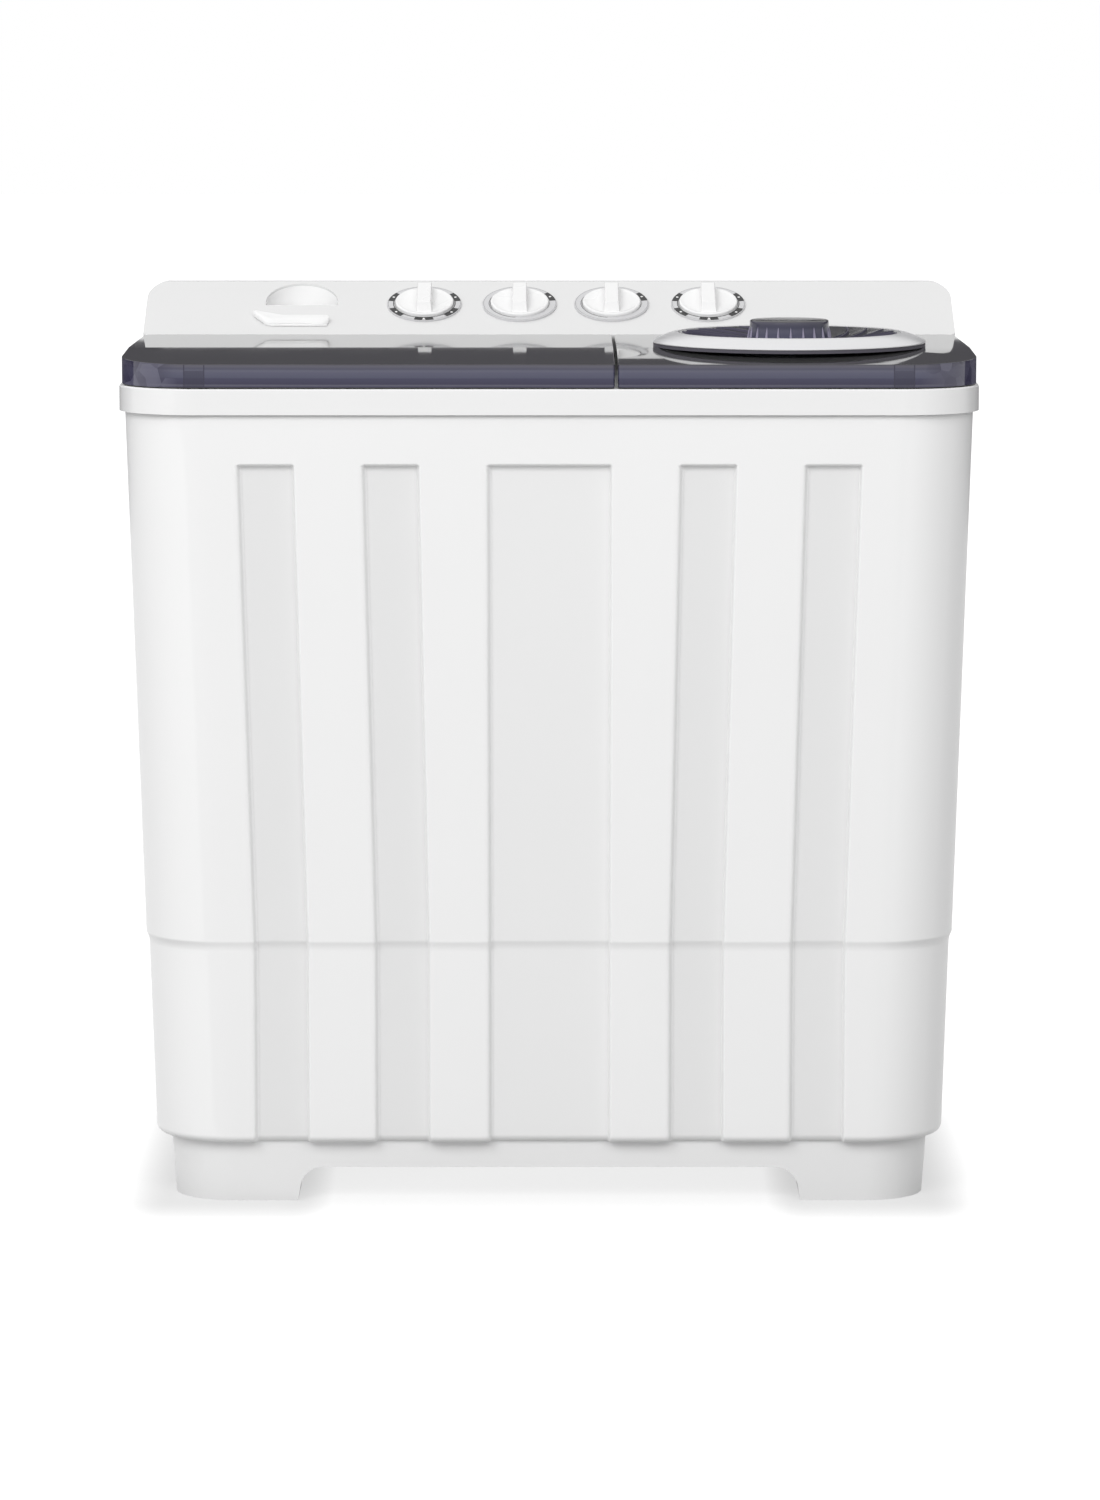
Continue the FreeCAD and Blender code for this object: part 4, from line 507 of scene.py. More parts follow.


# ---------------------------------------------------------------- lids
# Two smoked, glass-smooth lids side by side: nearly opaque from above, where they mirror the
# panel, and slightly see-through at the skirt, whose painted bands, corner facets and guide blocks
# of light and dark stand in for what it reflects and shows through.

def smoked_plastic(name, low_z, high_z, gloss_level=0.5, roughness=0.04):
    """Violet-grey smoked plastic; the upright skirt between two heights gets painted light and
    dark: bands, facets and blocks for what it reflects and shows through.
    """
    material, nodes, links, shader = new_material(name)
    place = nodes.new("ShaderNodeTexCoord")
    parts = nodes.new("ShaderNodeSeparateXYZ")
    links.new(place.outputs["Object"], parts.inputs["Vector"])
    facing = nodes.new("ShaderNodeSeparateXYZ")
    links.new(place.outputs["Normal"], facing.inputs["Vector"])

    def math_node(operation, first, second=None):
        node = nodes.new("ShaderNodeMath")
        node.operation = operation
        for socket, value in zip(node.inputs, (first, second)):
            if value is None:
                continue
            if isinstance(value, float):
                socket.default_value = value
            else:
                links.new(value, socket)
        return node.outputs[0]

    def blend_colour(factor, first, second):
        node = nodes.new("ShaderNodeMix")
        node.data_type = "RGBA"
        links.new(factor, node.inputs["Factor"])
        for key, value in (("A", first), ("B", second)):
            if isinstance(value, tuple):
                node.inputs[key].default_value = value
            else:
                links.new(value, node.inputs[key])
        return node.outputs["Result"]

    # Painted bands of light and dark up the skirt, from near black to pale violet, with a dark
    # band at its top edge: they stand in for what the skirt reflects and shows through.
    height = nodes.new("ShaderNodeMapRange")
    height.inputs["From Min"].default_value = low_z
    height.inputs["From Max"].default_value = high_z
    links.new(parts.outputs["Z"], height.inputs["Value"])
    painted_skirt_bands = nodes.new("ShaderNodeValToRGB")
    painted_skirt_bands.color_ramp.interpolation = "EASE"
    bands = [(0.0, (0.010, 0.009, 0.020)), (0.05, (0.045, 0.043, 0.085)),
             (0.10, (0.085, 0.082, 0.120)), (0.16, (0.022, 0.019, 0.055)),
             (0.36, (0.030, 0.028, 0.070)), (0.46, (0.062, 0.064, 0.112)),
             (0.60, (0.074, 0.074, 0.125)), (0.72, (0.092, 0.092, 0.140)),
             (0.80, (0.060, 0.060, 0.098)), (0.92, (0.088, 0.084, 0.115)),
             (0.985, (0.070, 0.066, 0.085)), (1.0, (0.008, 0.008, 0.010))]
    ramp = painted_skirt_bands.color_ramp
    for index, (position, colour) in enumerate(bands):
        stop = ramp.elements[index] if index < 2 else ramp.elements.new(position)
        stop.position = position
        stop.color = colour + (1.0,)
    waver = nodes.new("ShaderNodeTexNoise")
    waver.inputs["Scale"].default_value = 5.0
    links.new(place.outputs["Object"], waver.inputs["Vector"])
    ripple = math_node("MULTIPLY", math_node("SUBTRACT", waver.outputs["Fac"], 0.5), 0.06)
    links.new(math_node("ADD", height.outputs["Result"], ripple), painted_skirt_bands.inputs["Fac"])

    # Painted corner facets: near the lid's front corners the skirt takes a random mix of dark and
    # light violet, a painted reflection.
    across = math_node("ABSOLUTE", parts.outputs["X"])
    painted_corner_facets = nodes.new("ShaderNodeTexVoronoi")
    painted_corner_facets.inputs["Scale"].default_value = 55.0
    links.new(place.outputs["Object"], painted_corner_facets.inputs["Vector"])
    facet_tone = nodes.new("ShaderNodeSeparateColor")
    links.new(painted_corner_facets.outputs["Color"], facet_tone.inputs["Color"])
    painted_facet_colour = blend_colour(facet_tone.outputs["Red"], (0.020, 0.017, 0.045, 1.0),
                                (0.115, 0.112, 0.165, 1.0))
    corner = nodes.new("ShaderNodeMapRange")
    corner.inputs["From Min"].default_value = 0.425
    corner.inputs["From Max"].default_value = 0.452
    corner.inputs["To Max"].default_value = 0.8
    links.new(across, corner.inputs["Value"])
    in_front = math_node("LESS_THAN", parts.outputs["Y"], -0.2)
    skirt = blend_colour(math_node("MULTIPLY", corner.outputs["Result"], in_front),
                         painted_skirt_bands.outputs["Color"], painted_facet_colour)

    # Painted dark guide blocks on the front skirt, darker at their edges: painted shade in place
    # of blocks seen through it.
    block_centre = 0.4065
    from_block = math_node("ABSOLUTE", math_node("SUBTRACT", across, block_centre))
    block = math_node("LESS_THAN", from_block, 0.0122)
    block_edge = math_node("MULTIPLY", block, math_node("GREATER_THAN", from_block, 0.0108))
    lower = math_node("LESS_THAN", height.outputs["Result"], 0.74)
    shade = math_node("MULTIPLY", math_node("MULTIPLY", block, lower), 0.55)
    shade = math_node("MAXIMUM", shade, math_node("MULTIPLY", block_edge, 0.75))
    shade = math_node("MULTIPLY", shade, in_front)
    skirt = blend_colour(shade, skirt, (0.012, 0.010, 0.032, 1.0))

    # Faces that look up keep the plain grey of the smoked plastic; upright faces take the painted
    # skirt colour.
    upright = nodes.new("ShaderNodeMapRange")
    upright.inputs["From Min"].default_value = 0.35
    upright.inputs["From Max"].default_value = 0.75
    upright.inputs["To Min"].default_value = 1.0
    upright.inputs["To Max"].default_value = 0.0
    links.new(math_node("ABSOLUTE", facing.outputs["Z"]), upright.inputs["Value"])
    colour = blend_colour(upright.outputs["Result"], (0.083, 0.083, 0.087, 1.0), skirt)
    links.new(colour, shader.inputs["Base Color"])
    smudge = nodes.new("ShaderNodeTexNoise")
    smudge.inputs["Scale"].default_value = 14.0
    links.new(place.outputs["Object"], smudge.inputs["Vector"])
    gloss = nodes.new("ShaderNodeMapRange")
    gloss.inputs["To Min"].default_value = roughness * 0.6
    gloss.inputs["To Max"].default_value = roughness * 1.5
    links.new(smudge.outputs["Fac"], gloss.inputs["Value"])
    links.new(gloss.outputs["Result"], shader.inputs["Roughness"])
    shader.inputs["IOR"].default_value = 1.52
    shader.inputs["Specular IOR Level"].default_value = gloss_level
    shader.inputs["Transmission Weight"].default_value = 0.12
    return material


wash_low, wash_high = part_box("wash_lid")
lid_front_top = wash_high[2] - 0.008
smoked_lid = smoked_plastic("smoked_lid", wash_low[2], lid_front_top)
wash_lid = rounded_copy("wash_lid", 0.0009)
dress(wash_lid, "wash_lid", "wash_lid", smoked_lid)
spin_lid = rounded_copy("spin_lid", 0.0009)
dress(spin_lid, "spin_lid", "spin_lid", smoked_lid)


# ---------------------------------------------------------------- vent of the spin lid
# A bright ring round a dark dish with swept ribs, and a flared, fluted knob that turns the
# shutter under the lid.

def turned_mesh(name, outline, centre, steps=120, closed=True):
    """Surface turned about an upright axis from (radius, height) points."""
    shape = bmesh.new()
    rings = []
    for radius, z in outline:
        if radius < 0.000001:
            rings.append([shape.verts.new((centre[0], centre[1], z))])
            continue
        turns = [2.0 * math.pi * step / steps for step in range(steps)]
        rings.append([shape.verts.new((centre[0] + radius * math.cos(turn),
                                       centre[1] + radius * math.sin(turn), z)) for turn in turns])
    joins = list(zip(rings, rings[1:]))
    if closed:
        joins.append((rings[-1], rings[0]))
    for lower, upper in joins:
        for step in range(steps):
            after = (step + 1) % steps
            corners = [lower[step % len(lower)], lower[after % len(lower)],
                       upper[after % len(upper)], upper[step % len(upper)]]
            distinct = list(dict.fromkeys(corners))
            if len(distinct) > 2:
                shape.faces.new(distinct)
    bmesh.ops.recalc_face_normals(shape, faces=shape.faces)
    mesh = bpy.data.meshes.new(name)
    shape.to_mesh(mesh)
    shape.free()
    return mesh


def copies_in_a_ring(name, mesh, count, centre, material):
    """Geometry nodes that stand copies of a mesh, drawn about the origin, round a centre."""
    group = bpy.data.node_groups.new("copies_in_a_ring", "GeometryNodeTree")
    sockets = [("Geometry", "INPUT", "NodeSocketGeometry"), ("Count", "INPUT", "NodeSocketInt"),
               ("Centre", "INPUT", "NodeSocketVector"), ("Finish", "INPUT", "NodeSocketMaterial"),
               ("Geometry", "OUTPUT", "NodeSocketGeometry")]
    named = {}
    for label, direction, kind in sockets:
        named[(label, direction)] = group.interface.new_socket(label, in_out=direction,
                                                               socket_type=kind)
    nodes = group.nodes
    links = group.links
    given = nodes.new("NodeGroupInput")
    result = nodes.new("NodeGroupOutput")
    points = nodes.new("GeometryNodePoints")
    links.new(given.outputs["Count"], points.inputs["Count"])
    links.new(given.outputs["Centre"], points.inputs["Position"])
    index = nodes.new("GeometryNodeInputIndex")
    share = nodes.new("ShaderNodeMath")
    share.operation = "DIVIDE"
    links.new(index.outputs["Index"], share.inputs[0])
    links.new(given.outputs["Count"], share.inputs[1])
    turn = nodes.new("ShaderNodeMath")
    turn.operation = "MULTIPLY"
    turn.inputs[1].default_value = 2.0 * math.pi
    links.new(share.outputs[0], turn.inputs[0])
    about = nodes.new("ShaderNodeCombineXYZ")
    links.new(turn.outputs[0], about.inputs["Z"])
    stand = nodes.new("GeometryNodeInstanceOnPoints")
    links.new(points.outputs["Points"], stand.inputs["Points"])
    links.new(given.outputs["Geometry"], stand.inputs["Instance"])
    links.new(about.outputs["Vector"], stand.inputs["Rotation"])
    real = nodes.new("GeometryNodeRealizeInstances")
    links.new(stand.outputs["Instances"], real.inputs["Geometry"])
    finish = nodes.new("GeometryNodeSetMaterial")
    links.new(real.outputs["Geometry"], finish.inputs["Geometry"])
    links.new(given.outputs["Finish"], finish.inputs["Material"])
    links.new(finish.outputs["Geometry"], result.inputs["Geometry"])
    piece = link_object(name, mesh)
    modifier = piece.modifiers.new("copies", "NODES")
    modifier.node_group = group
    modifier[named[("Count", "INPUT")].identifier] = count
    modifier[named[("Centre", "INPUT")].identifier] = centre
    modifier[named[("Finish", "INPUT")].identifier] = material
    made = bpy.data.meshes.new_from_object(piece.evaluated_get(
        bpy.context.evaluated_depsgraph_get()))
    piece.modifiers.clear()
    piece.data = made
    smooth(made, 35.0)
    return piece


def form_through(name, shape, rows):
    """Closed form through rows of as many corners, flat at both ends."""
    sides = len(rows[0])
    for near, far in zip(rows, rows[1:]):
        for side in range(sides):
            after = (side + 1) % sides
            shape.faces.new((near[side], near[after], far[after], far[side]))
    shape.faces.new(rows[0][::-1])
    shape.faces.new(rows[-1])
    bmesh.ops.recalc_face_normals(shape, faces=shape.faces)
    mesh = bpy.data.meshes.new(name)
    shape.to_mesh(mesh)
    shape.free()
    return mesh


def ring_piece(name, outline, steps, crease, closed=True):
    """Surface turned about the vent's axis, from radii and heights over the lid."""
    mesh = turned_mesh(name, [(radius, lid_surface + z) for radius, z in outline], vent_centre,
                       steps, closed)
    smooth(mesh, crease)
    return mesh


bezel_low, bezel_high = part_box("vent_bezel")
vent_centre = ((bezel_low[0] + bezel_high[0]) / 2, (bezel_low[1] + bezel_high[1]) / 2, 0.0)
lid_surface = bezel_low[2]
bezel_outline = [(0.1560, 0.0), (0.1565, 0.0036), (0.1594, 0.0036), (0.1606, 0.0039),
                 (0.1610, 0.0045), (0.1609, 0.0053), (0.1602, 0.0062), (0.1560, 0.0087),
                 (0.1510, 0.0110), (0.1450, 0.0133), (0.1390, 0.0151), (0.1345, 0.0160),
                 (0.1325, 0.0163), (0.1313, 0.0159), (0.1311, 0.0145), (0.1311, 0.0)]
collar_outline = [(0.1566, 0.0), (0.1603, 0.0), (0.1603, 0.0035), (0.1566, 0.0035)]
bezel = link_object("vent_bezel_finish", ring_piece("vent_bezel", bezel_outline, 160, 45.0))
even_normals(bezel)
vent_silver, nodes, links, shader = new_material("vent_silver")
place = nodes.new("ShaderNodeTexCoord")
sheen = nodes.new("ShaderNodeTexNoise")
sheen.inputs["Scale"].default_value = 30.0
links.new(place.outputs["Object"], sheen.inputs["Vector"])
gloss = nodes.new("ShaderNodeMapRange")
gloss.inputs["To Min"].default_value = 0.26
gloss.inputs["To Max"].default_value = 0.34
links.new(sheen.outputs["Fac"], gloss.inputs["Value"])
links.new(gloss.outputs["Result"], shader.inputs["Roughness"])
shader.inputs["Base Color"].default_value = (0.74, 0.74, 0.75, 1.0)
shader.inputs["Metallic"].default_value = 0.45
dress(bezel, "spin_lid", "vent_bezel", vent_silver)

# The dish and knob use the smoked plastic, with its painted bands of light and dark over their own
# heights.
vent_dark = smoked_plastic("vent_dark", lid_surface - 0.020, lid_surface + 0.034, 0.3, 0.16)
dish = rounded_copy("vent_dish", 0.0005, 2)
dress(dish, "spin_lid", "vent_dish", vent_dark)
collar = link_object("vent_collar", ring_piece("vent_collar", collar_outline, 120, 45.0))
collar_grey = moulded_plastic("collar_grey", (0.085, 0.080, 0.100), 0.6)
collar.data.materials.append(collar_grey)
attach(collar, "spin_lid")

rib_height = 0.0028
rib_thickness = 0.0011
rib_start = 0.0575
rib_end = 0.1265
rib_sweep = math.radians(26.0)
dish_edge = 0.062
dish_slope = 0.0129 / 0.0663
rib_root = Vector((0.0, 0.0, 0.0006))
shape = bmesh.new()
rows = []
for step in range(13):
    part = step / 12.0
    radius = rib_start + (rib_end - rib_start) * part
    turn = rib_sweep * part ** 1.3
    rise = 0.0026 + max(0.0, radius - dish_edge) * dish_slope
    across = Vector((-math.sin(turn), math.cos(turn), 0.0)) * rib_thickness
    spot = Vector((radius * math.cos(turn), radius * math.sin(turn), lid_surface + rise))
    tall = rib_height * min(1.0, 4.0 * part + 0.3, 4.0 * (1.0 - part) + 0.3)
    rows.append([shape.verts.new(spot - across - rib_root),
                 shape.verts.new(spot - across * 0.5 + Vector((0, 0, tall))),
                 shape.verts.new(spot + across * 0.5 + Vector((0, 0, tall))),
                 shape.verts.new(spot + across - rib_root)])
mesh = form_through("dish_rib", shape, rows)
rib_violet = moulded_plastic("rib_violet", (0.060, 0.055, 0.090), 0.45)
ribs = copies_in_a_ring("dish_ribs", mesh, 24, vent_centre, rib_violet)
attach(ribs, "spin_lid")

hub_outline = [(0.0, 0.0310), (0.0150, 0.03096), (0.0300, 0.03080), (0.0440, 0.03050),
               (0.0456, 0.0300), (0.0464, 0.0290), (0.0465, 0.0262), (0.0468, 0.0200),
               (0.0473, 0.0140), (0.0481, 0.0090), (0.0492, 0.0052), (0.0498, 0.0038),
               (0.0498, 0.0032), (0.0475, 0.0032), (0.0470, 0.0052), (0.0458, 0.0100),
               (0.0450, 0.0150), (0.0445, 0.0200), (0.0440, 0.0280), (0.0, 0.0280)]
hub = link_object("vent_knob_finish", ring_piece("vent_knob", hub_outline, 120, 40.0, False))
dress(hub, "vent_turner", "vent_knob", vent_dark)

stem_radius = 0.0090
stem_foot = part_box("vent_shutter")[1][2] - 0.0002
stem_top = lid_surface + 0.0285
stem_outline = [(0.0, stem_foot), (stem_radius, stem_foot), (stem_radius, stem_top),
                (0.0, stem_top)]
stem = link_object("vent_stem", turned_mesh("vent_stem", stem_outline, vent_centre, 48, False))
smooth(stem.data, 40.0)
stem.data.materials.append(vent_dark)
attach(stem, "vent_turner")

flute_levels = [(0.0034, 0.0478, 0.0500, 0.0022), (0.0080, 0.0472, 0.0499, 0.0021),
                (0.0120, 0.0466, 0.0493, 0.0018), (0.0160, 0.0462, 0.0485, 0.0014),
                (0.0200, 0.0458, 0.0475, 0.0009), (0.0230, 0.0454, 0.0467, 0.0004)]
shape = bmesh.new()
rows = []
for rise, inner, outer, half in flute_levels:
    z = lid_surface + rise
    rows.append([shape.verts.new((inner, -half, z)), shape.verts.new((outer, -half * 0.45, z)),
                 shape.verts.new((outer, half * 0.45, z)), shape.verts.new((inner, half, z))])
mesh = form_through("hub_flute", shape, rows)
# The flutes get a lighter violet-grey than the knob's dark plastic, so they read as lit edges:
# painted highlight.
flute_painted_highlight = moulded_plastic("flute_painted_highlight", (0.30, 0.28, 0.38), 0.35)
flutes = copies_in_a_ring("hub_flutes", mesh, 20, vent_centre, flute_painted_highlight)
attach(flutes, "vent_turner")
paint("vent_shutter", vent_dark)


# ---------------------------------------------------------------- dials
# Four round knobs with a raised grip, each in a printed band: black blocks with a white dot at
# the settings, and a thin dark line along the band's inner edge. No words or numbers.

panel_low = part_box("control_panel")[0]
slope_angle = math.atan2(0.058, 0.130)
dial_rise = 0.077
dial_places = {"wash_timer": -0.1528, "wash_selector": -0.0361, "drain_selector": 0.0764,
               "spin_timer": 0.1947}


def on_slope(x, across, along, out):
    """A spot on the panel's slope: along it, up it, and out of it, from a dial's centre."""
    rise = dial_rise + along
    return (x + across,
            panel_low[1] + rise * math.cos(slope_angle) - out * math.sin(slope_angle),
            lid_surface + rise * math.sin(slope_angle) + out * math.cos(slope_angle))


def add_band(shape, x, inner, outer, start, end, low, top, finish):
    """Flat band, or a part of it between two angles, standing on the slope."""
    whole = end - start > 359.0
    count = max(3, int((end - start) / 3.0))
    rows = []
    for step in range(count if whole else count + 1):
        turn = math.radians(start + (end - start) * step / count)
        c, s = math.cos(turn), math.sin(turn)
        rows.append([shape.verts.new(on_slope(x, inner * c, inner * s, low)),
                     shape.verts.new(on_slope(x, inner * c, inner * s, top)),
                     shape.verts.new(on_slope(x, (outer - 0.0004) * c, (outer - 0.0004) * s, top)),
                     shape.verts.new(on_slope(x, outer * c, outer * s, top - 0.0004)),
                     shape.verts.new(on_slope(x, outer * c, outer * s, low))])
    pairs = list(zip(rows, rows[1:])) + ([(rows[-1], rows[0])] if whole else [])
    made = []
    for near, far in pairs:
        for side in range(5):
            after = (side + 1) % 5
            made.append(shape.faces.new((near[side], near[after], far[after], far[side])))
    if not whole:
        made.append(shape.faces.new(rows[0][::-1]))
        made.append(shape.faces.new(rows[-1]))
    for face in made:
        face.material_index = finish


def add_dot(shape, x, centre, corners, low, top, finish):
    """Small flat mark on the slope, from its corners about a centre."""
    foot = [shape.verts.new(on_slope(x, centre[0] + u, centre[1] + v, low)) for u, v in corners]
    head = [shape.verts.new(on_slope(x, centre[0] + u, centre[1] + v, top)) for u, v in corners]
    made = [shape.faces.new(head), shape.faces.new(foot[::-1])]
    for step in range(len(corners)):
        after = (step + 1) % len(corners)
        made.append(shape.faces.new((foot[step], foot[after], head[after], head[step])))
    for face in made:
        face.material_index = finish


ring_outer = 0.0453
ring_inner = 0.0365
ring_height = 0.0025
mark_middle = 0.0410
shape = bmesh.new()
for name, x in dial_places.items():
    add_band(shape, x, ring_inner, ring_outer, 0.0, 360.0, 0.0, ring_height, 0)
    add_band(shape, x, ring_outer - 0.0014, ring_outer - 0.0005, 0.0, 360.0, ring_height - 0.0005,
             ring_height + 0.00006, 3)
    timer = name.endswith("timer")
    blocks = [(8, 38), (142, 172), (198, 230), (309, 341), (254, 286)] if timer else [(10, 40)]
    for start, end in blocks:
        add_band(shape, x, 0.0370, 0.0451, start, end, ring_height - 0.0005,
                 ring_height + 0.00012, 1)
        middle = math.radians((start + end) / 2.0)
        centre = (mark_middle * math.cos(middle), mark_middle * math.sin(middle))
        if start == 254:
            corners = [(-0.0022, -0.0027), (0.0022, -0.0027), (0.0, 0.0030)]
        else:
            corners = [(0.0016 * math.cos(math.radians(20 * k)),
                        0.0016 * math.sin(math.radians(20 * k))) for k in range(18)]
        add_dot(shape, x, centre, corners, ring_height, ring_height + 0.00022, 2)
    lines = [(172, 201), (228, 254), (286, 312), (339, 368)] if timer else [(140, 262)]
    for start, end in lines:
        add_band(shape, x, 0.0372, 0.0386 if timer else 0.0382, start, end, ring_height - 0.0005,
                 ring_height + 0.0001, 1)
bmesh.ops.recalc_face_normals(shape, faces=shape.faces)
mesh = bpy.data.meshes.new("dial_rings_finish")
shape.to_mesh(mesh)
shape.free()
smooth(mesh, 30.0)
rings = link_object("dial_rings_finish", mesh)
dial_grey = moulded_plastic("dial_grey", (0.60, 0.60, 0.61), 0.3, 0.00001)
dress(rings, "washer_body", "dial_rings", dial_grey)
for name, tone in (("print_black", (0.006, 0.006, 0.007)), ("print_white", (0.85, 0.85, 0.85)),
                   ("print_grey", (0.28, 0.28, 0.29))):
    rings.data.materials.append(moulded_plastic(name, tone, 0.35, 0.00001))

knob_white = moulded_plastic("knob_white", (0.86, 0.86, 0.86), 0.28, 0.00002, coat=0.15)
knob_outline = [(0.0, 0.0010), (0.0352, 0.0010), (0.0357, 0.0016), (0.0357, 0.0046),
                (0.0354, 0.0056), (0.0347, 0.0063), (0.0337, 0.0066), (0.0326, 0.0064),
                (0.0312, 0.0058), (0.0280, 0.0051), (0.0150, 0.0046), (0.0, 0.0045)]
grip_foot = (0.0096, -0.0300, 0.0305, 0.0030)
grip_crown = (0.0082, -0.0205, 0.0295, 0.0160)
for name, x in dial_places.items():
    mesh = turned_mesh(name + "_knob_finish", knob_outline, (0.0, 0.0), 96, False)
    shape = bmesh.new()
    shape.from_mesh(mesh)
    corners = []
    for half, front, rear, out in (grip_foot, grip_crown):
        corners.append([shape.verts.new(spot) for spot in (
            (-half, front, out), (half, front, out), (half, rear, out), (-half, rear, out))])
    foot, crown = corners
    shape.faces.new(foot[::-1])
    shape.faces.new(crown)
    for step in range(4):
        after = (step + 1) % 4
        shape.faces.new((foot[step], foot[after], crown[after], crown[step]))
    for vertex in shape.verts:
        vertex.co = on_slope(x, *vertex.co)
    shape.to_mesh(mesh)
    shape.free()
    smooth(mesh, 40.0)
    knob = link_object(name + "_knob_finish", mesh)
    bevel = knob.modifiers.new("moulded_edges", "BEVEL")
    bevel.width = 0.0013
    bevel.segments = 3
    bevel.limit_method = "ANGLE"
    bevel.angle_limit = math.radians(45.0)
    even_normals(knob)
    dress(knob, name + "_dial", name + "_knob", knob_white)


# ---------------------------------------------------------------- water inlet
# A half-round filling mouth in the panel, and a white pointer plate that slides along the slope
# under it and steers the water to either tub; its stem passes through the panel's slot.

lever_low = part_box("inlet_lever")[0]
lever_lines = [(0.0, 0.0465, 0.0490), (0.005, 0.0385, 0.0480), (0.010, 0.0310, 0.0445),
               (0.015, 0.0252, 0.0398), (0.020, 0.0228, 0.0345), (0.025, 0.0222, 0.0330),
               (0.031, 0.0225, 0.0358), (0.038, 0.0234, 0.0363), (0.050, 0.0238, 0.0364),
               (0.060, 0.0236, 0.0364), (0.070, 0.0222, 0.0364), (0.077, 0.0208, 0.0364),
               (0.084, 0.0210, 0.0364), (0.089, 0.0224, 0.0363), (0.0925, 0.0265, 0.0358)]
lever_profile = [(0.0, 0.0012), (0.02, 0.0030), (0.16, 0.0052), (0.36, 0.0066), (0.60, 0.0070),
                 (0.88, 0.0070), (0.97, 0.0064), (1.0, 0.0050), (1.0, 0.0012)]
shape = bmesh.new()
shape.from_mesh(merged_copy("inlet_lever"))
whole = shape.verts[:] + shape.edges[:] + shape.faces[:]
cut = bmesh.ops.bisect_plane(shape, geom=whole, plane_co=on_slope(0.0, 0.0, 0.0, 0.0016),
                             plane_no=(0.0, -math.sin(slope_angle), math.cos(slope_angle)),
                             clear_outer=True)
edges = [item for item in cut["geom_cut"] if isinstance(item, bmesh.types.BMEdge)]
bmesh.ops.edgeloop_fill(shape, edges=edges)
rows = []
for offset, front, rear in lever_lines:
    rows.append([shape.verts.new(on_slope(lever_low[0] + offset, 0.0,
                                          front + (rear - front) * part - dial_rise, out))
                 for part, out in lever_profile])
sides = len(lever_profile)
made = [shape.faces.new(rows[0]), shape.faces.new(rows[-1][::-1])]
for near, far in zip(rows, rows[1:]):
    for side in range(sides):
        after = (side + 1) % sides
        made.append(shape.faces.new((near[side], far[side], far[after], near[after])))
bmesh.ops.recalc_face_normals(shape, faces=made)
mesh = bpy.data.meshes.new("inlet_lever_finish")
shape.to_mesh(mesh)
shape.free()
smooth(mesh, 40.0)
lever = link_object("inlet_lever_finish", mesh)
even_normals(lever)
dress(lever, "water_lever", "inlet_lever", knob_white)

# The inlet box is a brighter white than the panel, so its shaded mouth looks light: painted light
# standing in for bounce light.
inlet = rounded_copy("inlet_box", 0.0005, 2)
inlet_painted_light = moulded_plastic("inlet_painted_light", (0.92, 0.92, 0.92), 0.3, 0.00002)
dress(inlet, "washer_body", "inlet_box", inlet_painted_light)


# ---------------------------------------------------------------- wash tub
# A white plastic tub with its moulded pulsator, the slotted fluff cassette on its wall and the
# grille over the drain. The pulsator is screwed to its shaft through a rubber lip seal.

tub_white = moulded_plastic("tub_white", (0.80, 0.805, 0.80), 0.3, coat=0.1)
filter_blue = moulded_plastic("filter_blue", (0.16, 0.33, 0.56), 0.34, 0.00003)
rubber_black = moulded_plastic("rubber_black", (0.018, 0.018, 0.019), 0.62, 0.00009, 0.15)


def smooth_copy(node):
    """A CAD node's shape with its curved faces smooth and its edges as they are."""
    mesh = merged_copy(node, flatten=False)
    smooth(mesh, 28.0)
    piece = link_object(node + "_finish", mesh)
    even_normals(piece)
    return piece


dress(smooth_copy("wash_tub"), "washer_body", "wash_tub", tub_white)
dress(rounded_copy("pulsator", 0.0008, 2, 25.0), "pulsator_drive", "pulsator",
      tub_white)
dress(rounded_copy("lint_filter", 0.0004, 2), "washer_body", "lint_filter",
      filter_blue)
dress(rounded_copy("drain_guard", 0.0004, 2), "washer_body", "drain_guard",
      filter_blue)
paint("shaft_seal", rubber_black)


# ---------------------------------------------------------------- spin tub
# The outer tub is blow-moulded with a cone floor; the basket turns inside it on a rubber-sealed
# shaft, its wall pierced all round by rows of small holes.

dress(smooth_copy("spin_outer_tub"), "washer_body", "spin_outer_tub", tub_white)
dress(smooth_copy("spin_basket"), "spin_drive", "spin_basket", tub_white)
dress(smooth_copy("spin_seal_bellows"), "washer_body", "spin_seal_bellows",
      rubber_black)


# ---------------------------------------------------------------- metal parts
# Zinc-plated screws and brackets, bright steel shafts, springs and pins, cast pulleys and drum,
# and sintered bronze bushes: bare metal, finely worn and slightly uneven in gloss.

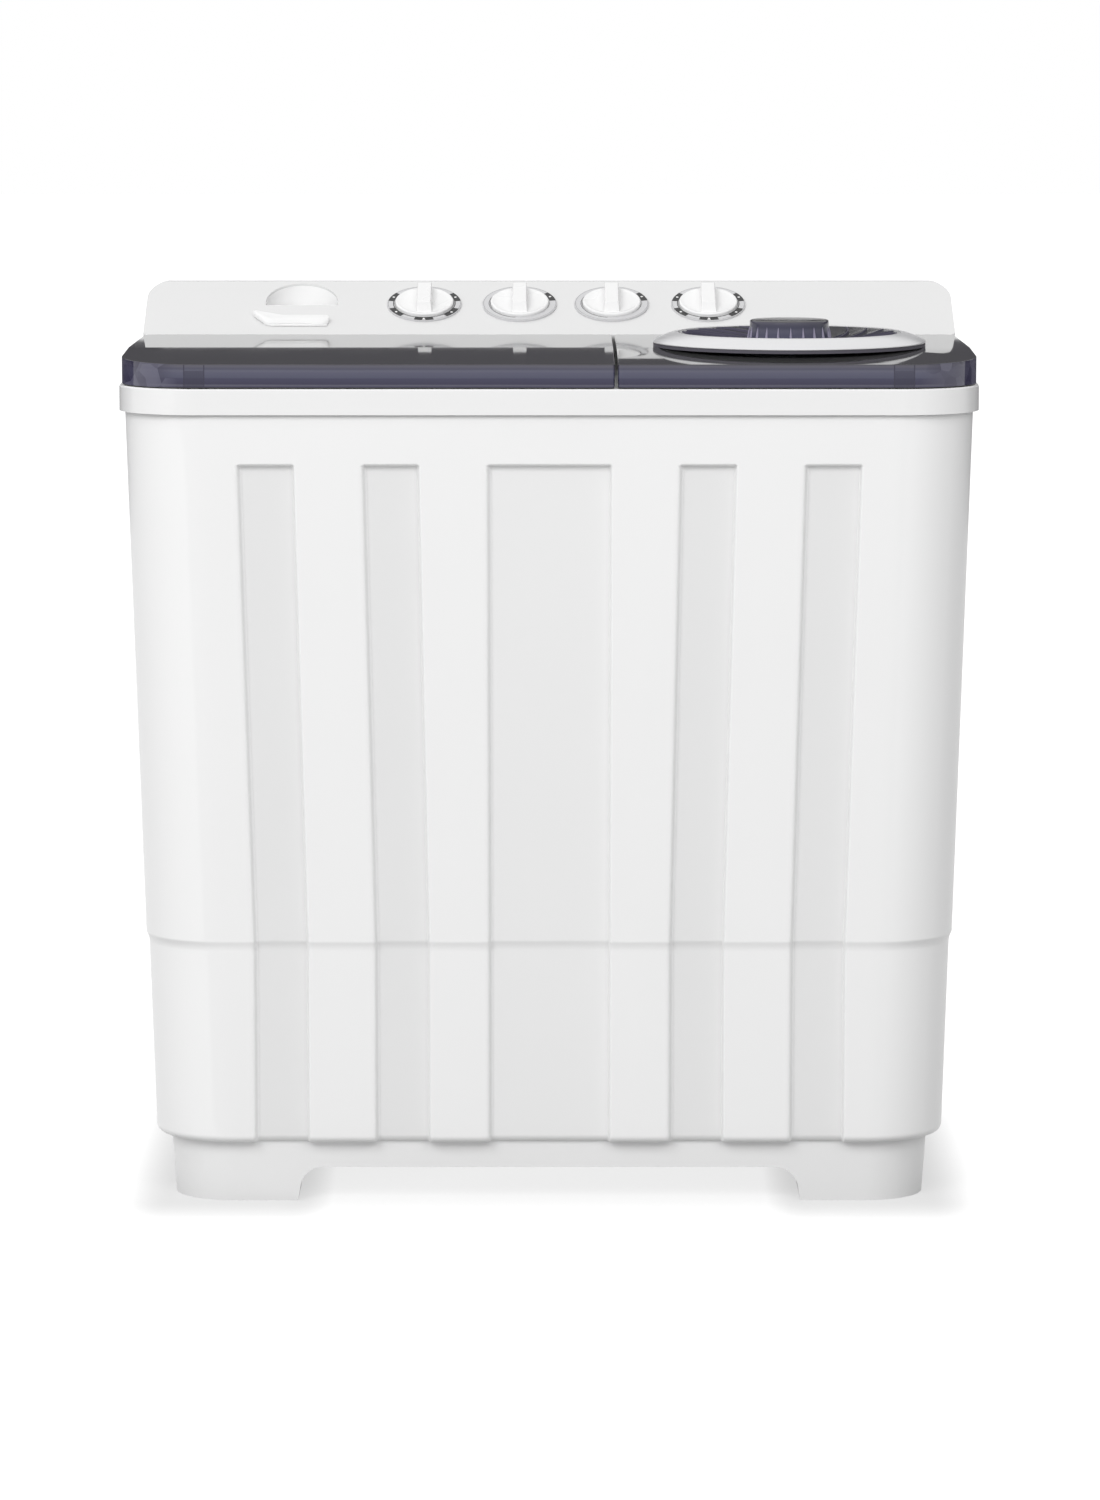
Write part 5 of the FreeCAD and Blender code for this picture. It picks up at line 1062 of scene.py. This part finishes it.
def bare_metal(name, colour, roughness, scale, depth):
    """Bare metal: a cloudy gloss and fine marks at the given scale and depth."""
    material, nodes, links, shader = new_material(name)
    place = nodes.new("ShaderNodeTexCoord")
    cloud = nodes.new("ShaderNodeTexNoise")
    cloud.inputs["Scale"].default_value = 45.0
    cloud.inputs["Detail"].default_value = 4.0
    links.new(place.outputs["Object"], cloud.inputs["Vector"])
    tint = nodes.new("ShaderNodeMix")
    tint.data_type = "RGBA"
    tint.inputs["A"].default_value = [c * 0.9 for c in colour] + [1.0]
    tint.inputs["B"].default_value = [min(1.0, c * 1.06) for c in colour] + [1.0]
    links.new(cloud.outputs["Fac"], tint.inputs["Factor"])
    links.new(tint.outputs["Result"], shader.inputs["Base Color"])
    gloss = nodes.new("ShaderNodeMapRange")
    gloss.inputs["To Min"].default_value = roughness * 0.8
    gloss.inputs["To Max"].default_value = roughness * 1.2
    links.new(cloud.outputs["Fac"], gloss.inputs["Value"])
    links.new(gloss.outputs["Result"], shader.inputs["Roughness"])
    marks = nodes.new("ShaderNodeTexNoise")
    marks.inputs["Scale"].default_value = scale
    marks.inputs["Detail"].default_value = 3.0
    links.new(place.outputs["Object"], marks.inputs["Vector"])
    bump = nodes.new("ShaderNodeBump")
    bump.inputs["Strength"].default_value = 0.4
    bump.inputs["Distance"].default_value = depth
    links.new(marks.outputs["Fac"], bump.inputs["Height"])
    links.new(bump.outputs["Normal"], shader.inputs["Normal"])
    shader.inputs["Metallic"].default_value = 1.0
    return material


steel = bare_metal("steel", (0.62, 0.62, 0.63), 0.24, 1200.0, 0.00001)
zinc_steel = bare_metal("zinc_steel", (0.66, 0.67, 0.66), 0.36, 300.0, 0.00003)
cast_alloy = bare_metal("cast_alloy", (0.56, 0.57, 0.58), 0.46, 500.0, 0.00010)
bronze = bare_metal("bronze", (0.52, 0.34, 0.17), 0.40, 900.0, 0.00004)
for node in ("cabinet_screws", "rear_cover_screws", "top_frame_screws", "drive_screws",
             "brake_arm"):
    paint(node, zinc_steel)
for node in ("wash_lid_hinge_pins", "spin_lid_hinge_pins", "wash_timer_shaft",
             "wash_selector_shaft", "drain_selector_shaft", "spin_timer_shaft", "mount_springs",
             "pulsator_screw", "pulsator_shaft", "spin_shaft", "wash_motor_rotor",
             "spin_motor_rotor"):
    paint(node, steel)
paint("shaft_bushes", bronze)
for node, body in (("bearing_housing", "washer_body"), ("large_pulley", "pulsator_drive"),
                   ("motor_pulley", "wash_motor_drive"), ("brake_drum", "spin_drive")):
    dress(rounded_copy(node, 0.0005, 2), body, node, cast_alloy)
for node in ("wash_motor_stand", "spin_motor_plate"):
    dress(rounded_copy(node, 0.0003, 2), "washer_body", node, zinc_steel)


# ---------------------------------------------------------------- drives, drain and controls
# Two enamelled motor cans, the flat rubber belt, the drain valve and its grey plastic hoses, and
# the dark control bodies behind the panel.

motor_paint = moulded_plastic("motor_paint", (0.055, 0.058, 0.062), 0.42, 0.00006, 0.08)
drain_grey = moulded_plastic("drain_grey", (0.30, 0.305, 0.31), 0.45, 0.00005, 0.04)
control_body = moulded_plastic("control_body", (0.09, 0.09, 0.095), 0.5, 0.00004, 0.05)
for node in ("wash_motor_housing", "spin_motor_housing"):
    dress(rounded_copy(node, 0.0006, 2), "washer_body", node, motor_paint)
dress(smooth_copy("drive_belt"), "washer_body", "drive_belt", rubber_black)
for node in ("drain_valve_body", "drain_hose", "spin_drain_hose"):
    dress(smooth_copy(node), "washer_body", node, drain_grey)
paint("drain_plunger", rubber_black)
for node in ("timers", "selector_switches"):
    dress(rounded_copy(node, 0.0008, 2), "washer_body", node, control_body)
dress(rounded_copy("spin_fill_duct", 0.0006, 2), "washer_body", "spin_fill_duct",
      frame_white)
